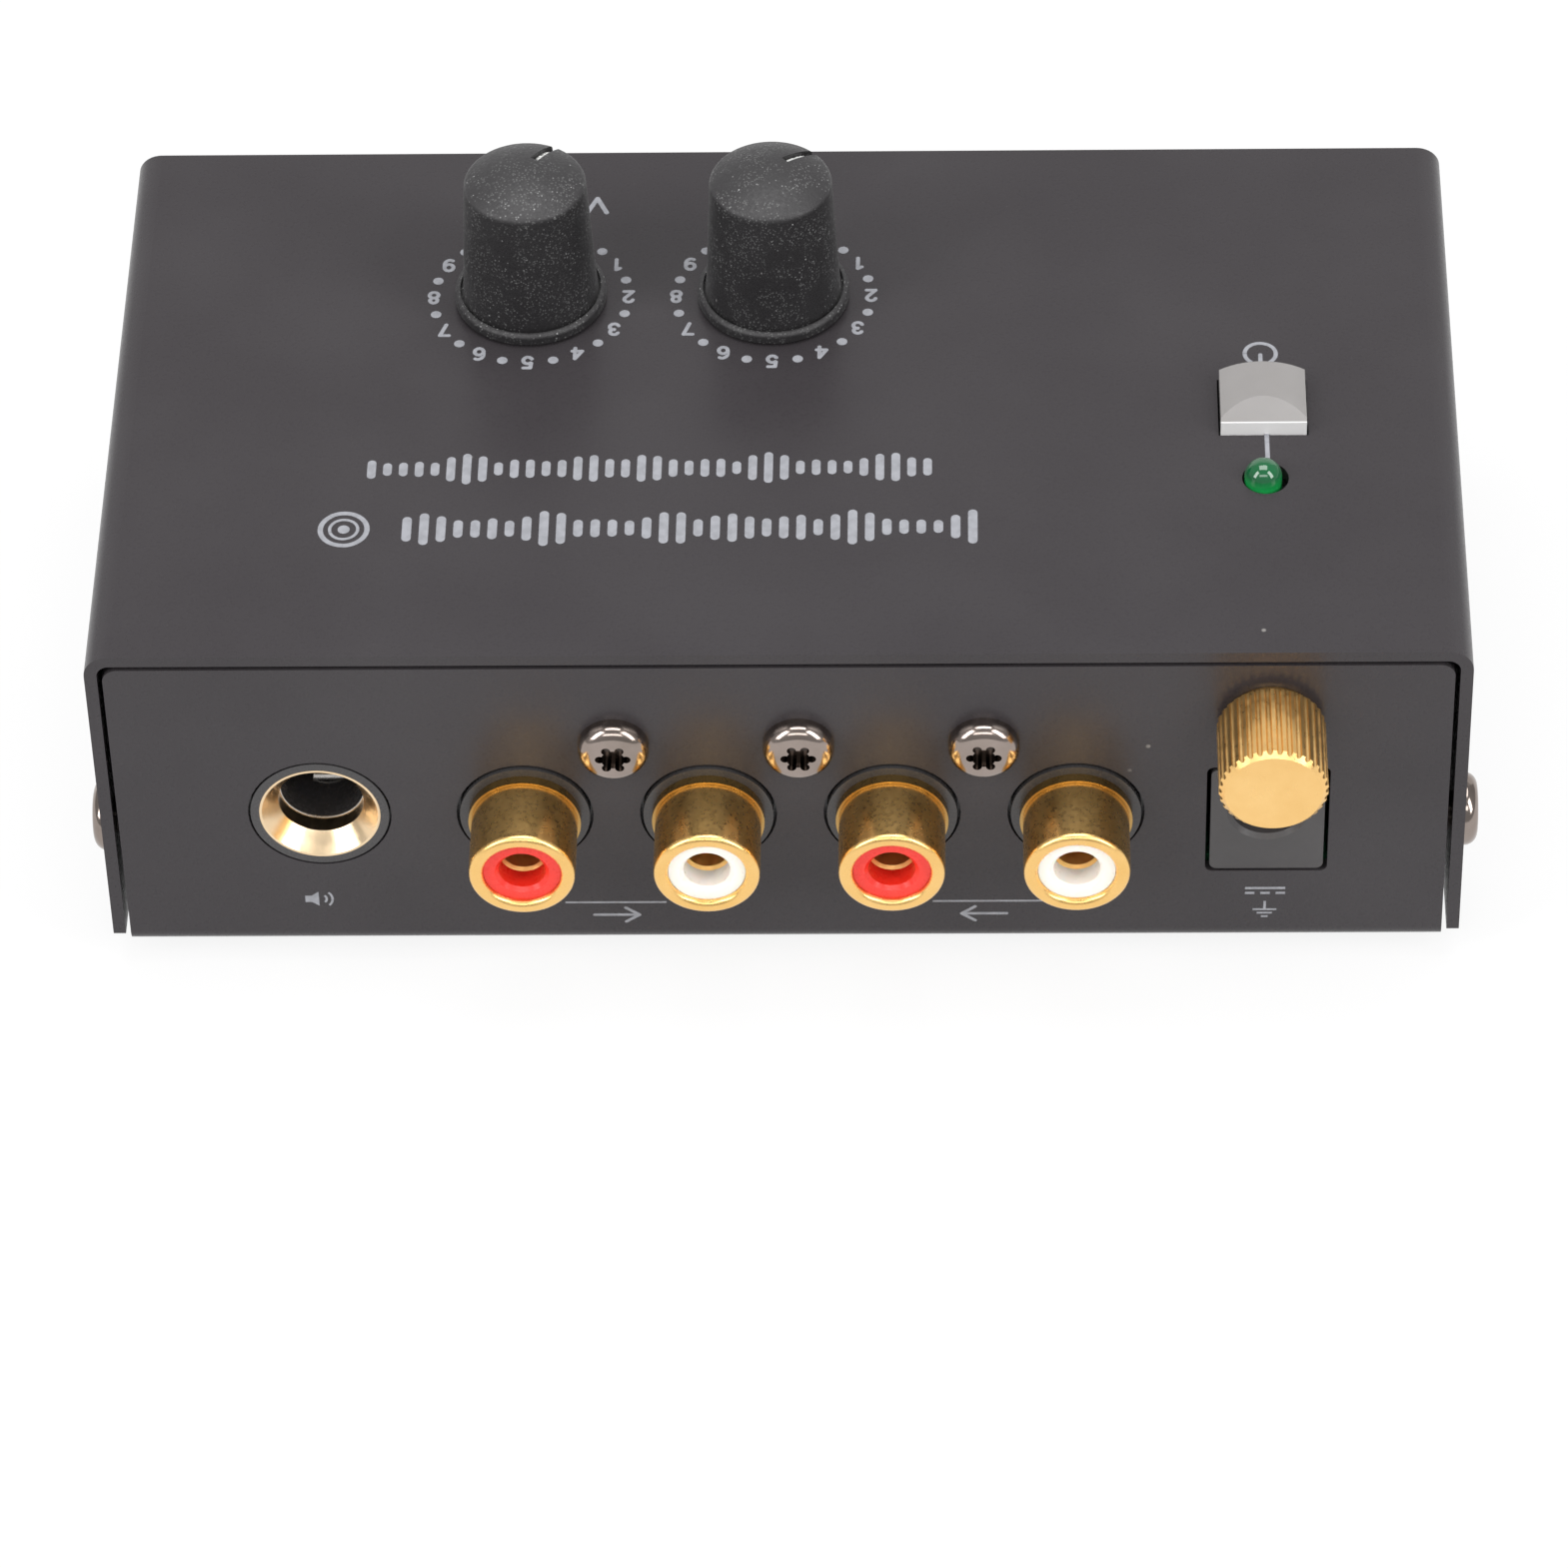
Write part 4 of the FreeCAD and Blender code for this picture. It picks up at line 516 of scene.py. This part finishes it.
def print_dial(control):
    """Figures 1 to 9 with a dot between each pair, read from the back of the box."""
    axis = middle(control + "_shaft")
    x, y = axis.x / MM, (axis.y - FRONT) / MM
    shapes = []
    for n in range(19):
        angle = math.radians(135 - 15 * n)
        spot = (x + DIAL_RADIUS * math.sin(angle), y - DIAL_RADIUS * math.cos(angle))
        if n % 2 == 0:
            shapes.append(disc(*spot, DIAL_DOT))
        else:
            shapes += figure(str(n // 2 + 1), *spot, FIGURE_SIZE, FIGURE_WEIGHT)
    print_shapes(control + "_dial", shapes, top_spot)


def wave_band(left, right, low, high, count, phase):
    """A row of round-ended bars whose heights follow a sound wave."""
    shapes = []
    middle_line, width = (low + high) / 2, (right - left) / count * 0.56
    for n in range(count):
        t = n / (count - 1)
        beat = abs(math.sin(17 * t + phase) * 0.62 + math.sin(41 * t + 2 * phase) * 0.38)
        half = (0.22 + 0.78 * beat) * ((high - low) / 2 - width / 2)
        x = left + width / 2 + t * (right - left - width)
        shapes.append(bar(x, middle_line - half, x, middle_line + half, width))
    return shapes


def record_sign(x, y, radius):
    """A disc record: rim, one groove and the label."""
    return ring(x, y, radius, 0.42) + ring(x, y, radius * 0.6, 0.26) + [disc(x, y, radius * 0.26)]


def power_sign(x, y, radius, width):
    """The usual power sign, read from the back of the box."""
    stem = bar(x, y - radius * 1.15, x, y - radius * 0.1, width)
    return ring(x, y, radius, width, -55, 235) + [stem]


def arrow(x, y, length, width, heading):
    """An arrow along the panel; heading is +1 towards +X or -1."""
    tip = x + heading * length / 2
    return [bar(x - heading * length / 2, y, tip, y, width),
            bar(tip, y, tip - heading * length * 0.3, y + length * 0.22, width),
            bar(tip, y, tip - heading * length * 0.3, y - length * 0.22, width)]


def speaker_sign(x, y, size):
    """A loudspeaker with two sound waves."""
    s = size
    horn = [(x - s * 0.9, y - s * 0.28), (x - s * 0.5, y - s * 0.28), (x - s * 0.05, y - s * 0.62),
            (x - s * 0.05, y + s * 0.62), (x - s * 0.5, y + s * 0.28), (x - s * 0.9, y + s * 0.28)]
    return ([horn] + ring(x, y, s * 0.42, s * 0.15, -45, 45, 10)
            + ring(x, y, s * 0.78, s * 0.15, -45, 45, 12))


def direct_current_sign(x, y, width):
    """A line over three dashes."""
    dash = width / 4.2
    shapes = [box_mark(x - width / 2, y + 0.25, x + width / 2, y + 0.5)]
    for n in (-1, 0, 1):
        at = x + n * (width - dash) / 2
        shapes.append(box_mark(at - dash / 2, y - 0.3, at + dash / 2, y - 0.05))
    return shapes


def earth_sign(x, y, size):
    """The usual earth sign: a stem over three shortening lines."""
    shapes = [box_mark(x - 0.1, y, x + 0.1, y + size * 0.5)]
    for n, half in enumerate((0.5, 0.32, 0.14)):
        low = y - n * size * 0.21
        shapes.append(box_mark(x - size * half, low - 0.1, x + size * half, low + 0.1))
    return shapes


# On the top, from the middle of the box and from its front: left, right, front and back
WAVE_BAND = (-29.8, 15.6, 12.4, 16.5)
LEVEL_BAND = (-32.9, 12.0, 19.6, 23.2)
RECORD_PLACE = (-34.4, 14.45)
RECORD_RADIUS = 1.85
LAMP_LINE = (38.46, 21.9, 38.82, 25.1)
VOLUME_MARK = ((-16.4, 52.4), (-15.6, 54.2), (-14.8, 52.4))
VOLUME_MARK_WIDTH = 0.4
POWER_MARK_BACK = 34.6
POWER_MARK_RADIUS = 1.25
POWER_MARK_WIDTH = 0.34

# On the panel, from the middle of the box and from its foot
BRACKET_LOW, BRACKET_HIGH = 3.68, 3.88
OUTPUT_BRACKET = (-17.5, -9.4)
INPUT_BRACKET = (11.9, 20.7)
OUTPUT_ARROW_X = -13.4
INPUT_ARROW_X = 16.0
ARROW_UP = 2.35
ARROW_LENGTH = 3.6
ARROW_WIDTH = 0.28


def print_top():
    lamp_x = middle("power_button").x / MM
    print_shapes("top_wave_band", wave_band(*WAVE_BAND, 34, 0.4)
                 + record_sign(*RECORD_PLACE, RECORD_RADIUS), top_spot)
    print_shapes("top_level_band", wave_band(*LEVEL_BAND, 36, 1.9), top_spot)
    print_shapes("power_mark", power_sign(lamp_x, POWER_MARK_BACK, POWER_MARK_RADIUS,
                                          POWER_MARK_WIDTH), top_spot)
    print_shapes("lamp_line", [box_mark(*LAMP_LINE)], top_spot)
    print_shapes("volume_mark", stroke(VOLUME_MARK, VOLUME_MARK_WIDTH), top_spot)
    for control in ("level", "volume"):
        print_dial(control)


def print_panel_arrow(name, bracket, x, heading):
    left, right = bracket
    print_shapes(name, [box_mark(left, BRACKET_LOW, right, BRACKET_HIGH)]
                 + arrow(x, ARROW_UP, ARROW_LENGTH, ARROW_WIDTH, heading), panel_spot)


def print_panel():
    jack_x = middle("output_jack_ferrule").x / MM
    column_x = middle("power_inlet_housing").x / MM
    print_shapes("jack_mark", speaker_sign(jack_x - 0.6, 4.3, 1.3), panel_spot)
    print_panel_arrow("output_mark", OUTPUT_BRACKET, OUTPUT_ARROW_X, 1)
    print_panel_arrow("input_mark", INPUT_BRACKET, INPUT_ARROW_X, -1)
    print_shapes("supply_mark", direct_current_sign(column_x, 4.75, 3.2), panel_spot)
    print_shapes("earth_mark", earth_sign(column_x, 2.7, 1.9), panel_spot)


print_top()
print_panel()


# White paint in the knobs' pointer grooves

KNOB_CROWN_HEIGHT = 1.4
KNOB_SHOULDER_RADIUS = 4.92
PAINT_DEPTH = 0.42
PAINT_HALF_WIDTH = 0.34
PAINT_STEPS = 24
POINTER_ANGLES = {"level": 29, "volume": 46}


def pointer_paint(control, start, stop, wear):
    """A strip that follows the knob's crown inside the groove, worn along one side."""
    low, high = corners(control + "_knob")
    axis = (low + high) / 2
    dome = (KNOB_SHOULDER_RADIUS ** 2 + KNOB_CROWN_HEIGHT ** 2) / (2 * KNOB_CROWN_HEIGHT)
    angle = math.radians(POINTER_ANGLES[control])
    along = Vector((math.sin(angle), math.cos(angle), 0))
    aside = Vector((math.cos(angle), -math.sin(angle), 0))
    points, faces = [], []
    for n in range(PAINT_STEPS + 1):
        reach = start + (stop - start) * n / PAINT_STEPS
        drop = dome - math.sqrt(dome ** 2 - reach ** 2) + PAINT_DEPTH
        worn = wear * (0.5 + 0.5 * math.sin(2.3 * n + 5 * math.sin(1.7 * n)))
        for side in (-PAINT_HALF_WIDTH + worn, PAINT_HALF_WIDTH):
            place = along * reach + aside * side
            points.append(Vector((axis.x, axis.y, high.z)) + (place - Vector((0, 0, drop))) * MM)
    for n in range(PAINT_STEPS):
        faces.append((2 * n, 2 * n + 1, 2 * n + 3, 2 * n + 2))
    mesh = bpy.data.meshes.new(control + "_pointer_paint")
    mesh.from_pydata(points, [], faces)
    strip = bpy.data.objects.new(control + "_pointer_paint", mesh)
    bpy.context.collection.objects.link(strip)
    dress(strip, POINTER)
    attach(strip, control + "_control")


pointer_paint("level", 1.95, 4.1, 0.30)
pointer_paint("volume", 1.75, 3.9, 0.16)


# Inside the output jack: the lip where its bore steps, and the sleeve contact on its floor

JACK_AXIS = middle("output_jack_ferrule")
JACK_BORE = 3.4
LIP_BACK = 3.0
LIP_WIRE = 0.08
SLEEVE_BACK = (7.1, 7.3, 10.5)
SLEEVE_HEIGHT = (-3.30, -3.05, -2.55)
SLEEVE_SIDES = (-1.15, 2.3)
SLEEVE_THICK = 0.22


def jack_point(across, back, height):
    return Vector((JACK_AXIS.x, FRONT, JACK_AXIS.z)) + Vector((across, back, height)) * MM


def own_piece(name, points, faces, material, bevel=0.0):
    """A mesh of this scene that rides on the case, with softened edges where a bevel is given."""
    mesh = bpy.data.meshes.new(name)
    mesh.from_pydata(points, [], faces)
    obj = bpy.data.objects.new(name, mesh)
    bpy.context.collection.objects.link(obj)
    dress(obj, material)
    if bevel:
        rounding = obj.modifiers.new("bevel", "BEVEL")
        rounding.width = bevel * MM
        rounding.segments = 2
    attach(obj, "case")
    return obj


def jack_lip():
    """A thin ring round the bore where it steps."""
    points, faces = [], []
    turns, sides = 64, 8
    for n in range(turns):
        round_angle = TAU * n / turns
        for k in range(sides):
            wire_angle = TAU * k / sides
            radius = JACK_BORE - LIP_WIRE * 0.4 + LIP_WIRE * math.cos(wire_angle)
            points.append(jack_point(radius * math.cos(round_angle),
                                     LIP_BACK + LIP_WIRE * math.sin(wire_angle),
                                     radius * math.sin(round_angle)))
            faces.append((n * sides + k, n * sides + (k + 1) % sides,
                          (n + 1) % turns * sides + (k + 1) % sides, (n + 1) % turns * sides + k))
    own_piece("output_jack_lip", points, faces, NICKEL)


def jack_sleeve_spring():
    """The sleeve contact: a flat strip on the bore's floor, bent once."""
    points, faces = [], []
    for back, height in zip(SLEEVE_BACK, SLEEVE_HEIGHT):
        for lift in (0.0, SLEEVE_THICK):
            points += [jack_point(side, back, height + lift) for side in SLEEVE_SIDES]
    for n in range(0, 4 * (len(SLEEVE_BACK) - 1), 4):
        faces += [(n, n + 1, n + 5, n + 4), (n + 2, n + 6, n + 7, n + 3),
                  (n, n + 4, n + 6, n + 2), (n + 1, n + 3, n + 7, n + 5)]
    last = 4 * (len(SLEEVE_BACK) - 1)
    faces += [(0, 2, 3, 1), (last, last + 1, last + 3, last + 2)]
    own_piece("output_jack_sleeve_spring", points, faces, NICKEL, 0.05)


jack_lip()
jack_sleeve_spring()


# Camera, from the fit to the box's edges, holes and dials

CAMERA_PLACE = Vector((15.50, -431.82, 449.33)) * MM
CAMERA_RIGHT = Vector((0.99968126, 0.01469444, -0.0205293))
CAMERA_FORWARD = Vector((-0.02490925, 0.70652759, -0.70724699))
CAMERA_LENS = 178.19


def add_camera():
    """The camera stands so far from the foot of the socket panel, at its middle."""
    data = bpy.data.cameras.new("camera")
    data.lens = CAMERA_LENS
    data.sensor_width = 36
    data.clip_start = 0.01
    camera = bpy.data.objects.new("camera", data)
    bpy.context.collection.objects.link(camera)
    up = CAMERA_RIGHT.cross(CAMERA_FORWARD)
    turn = Matrix((CAMERA_RIGHT, up, -CAMERA_FORWARD)).transposed().to_4x4()
    camera.matrix_world = Matrix.Translation(CAMERA_PLACE + Vector((0, FRONT, BOTTOM))) @ turn
    bpy.context.scene.camera = camera


# Floor, backdrop and lamps

FLOOR_COLOUR = (0.80, 0.80, 0.80, 1)
FLOOR_GLOW_SHARE = 0.86


def floor_material():
    """White to the camera, in gloss and through glass; the rest of its shading is the shadow."""
    material, nodes, links, shader = new_material("floor_white")
    nodes.remove(shader)
    output = nodes["Material Output"]
    matt = nodes.new("ShaderNodeBsdfDiffuse")
    matt.inputs["Color"].default_value = FLOOR_COLOUR
    glow = nodes.new("ShaderNodeEmission")
    blend = nodes.new("ShaderNodeMixShader")
    path = nodes.new("ShaderNodeLightPath")
    seen = calculate(nodes, links, "MAXIMUM", path.outputs["Is Camera Ray"],
                     path.outputs["Is Transmission Ray"])
    seen = calculate(nodes, links, "MAXIMUM", seen, path.outputs["Is Glossy Ray"])
    links.new(calculate(nodes, links, "MULTIPLY", seen, FLOOR_GLOW_SHARE), blend.inputs["Fac"])
    links.new(matt.outputs[0], blend.inputs[1])
    links.new(glow.outputs[0], blend.inputs[2])
    links.new(blend.outputs[0], output.inputs["Surface"])
    glow.inputs["Strength"].default_value = 1.0
    return material


def add_stage():
    """A floor that sweeps up into a backdrop far behind the object."""
    reach, rise, bend, steps = 3.0, 2.5, 0.8, 12
    line = [(-reach, 0.0), (reach - bend, 0.0)]
    for n in range(1, steps + 1):
        angle = n / steps * math.pi / 2
        line.append((reach - bend + bend * math.sin(angle), bend - bend * math.cos(angle)))
    line.append((reach, rise))
    points = [(side * reach, y, z) for y, z in line for side in (-1, 1)]
    faces = [(2 * n, 2 * n + 1, 2 * n + 3, 2 * n + 2) for n in range(len(line) - 1)]
    mesh = bpy.data.meshes.new("studio_floor")
    mesh.from_pydata(points, [], faces)
    floor = bpy.data.objects.new("studio_floor", mesh)
    bpy.context.collection.objects.link(floor)
    dress(floor, floor_material())


# Softboxes: place and size in metres, power in watts
SOFTBOXES = (
    ("left_softbox", (-0.75, -0.45, 0.65), (0.35, 0.8), 6),
    ("right_softbox", (0.75, -0.45, 0.65), (0.35, 0.8), 6),
    ("top_softbox", (0.0, 0.15, 1.3), (1.0, 0.7), 11),
    ("back_softbox", (0.0, 0.95, 0.95), (1.8, 0.5), 0.5),
    ("front_softbox", (0.0, -0.95, 0.95), (1.2, 0.3), 4),
)
LIGHT_TARGET = (0, 0, 0.02)
WORLD_STRENGTH = 0.42


def add_softbox(name, place, size, power):
    data = bpy.data.lights.new(name, "AREA")
    data.shape = "RECTANGLE"
    data.size, data.size_y = size
    data.energy = power
    lamp = bpy.data.objects.new(name, data)
    bpy.context.collection.objects.link(lamp)
    place = Vector(place)
    lamp.location = place
    lamp.rotation_euler = (Vector(LIGHT_TARGET) - place).to_track_quat("-Z", "Y").to_euler()


def add_lights():
    world = bpy.data.worlds.new("studio")
    bpy.context.scene.world = world
    world.use_nodes = True
    background = world.node_tree.nodes["Background"]
    background.inputs["Color"].default_value = (1, 1, 1, 1)
    background.inputs["Strength"].default_value = WORLD_STRENGTH
    for softbox in SOFTBOXES:
        add_softbox(*softbox)


# Finish

add_camera()
add_stage()
add_lights()
bpy.context.scene.view_settings.view_transform = "Standard"
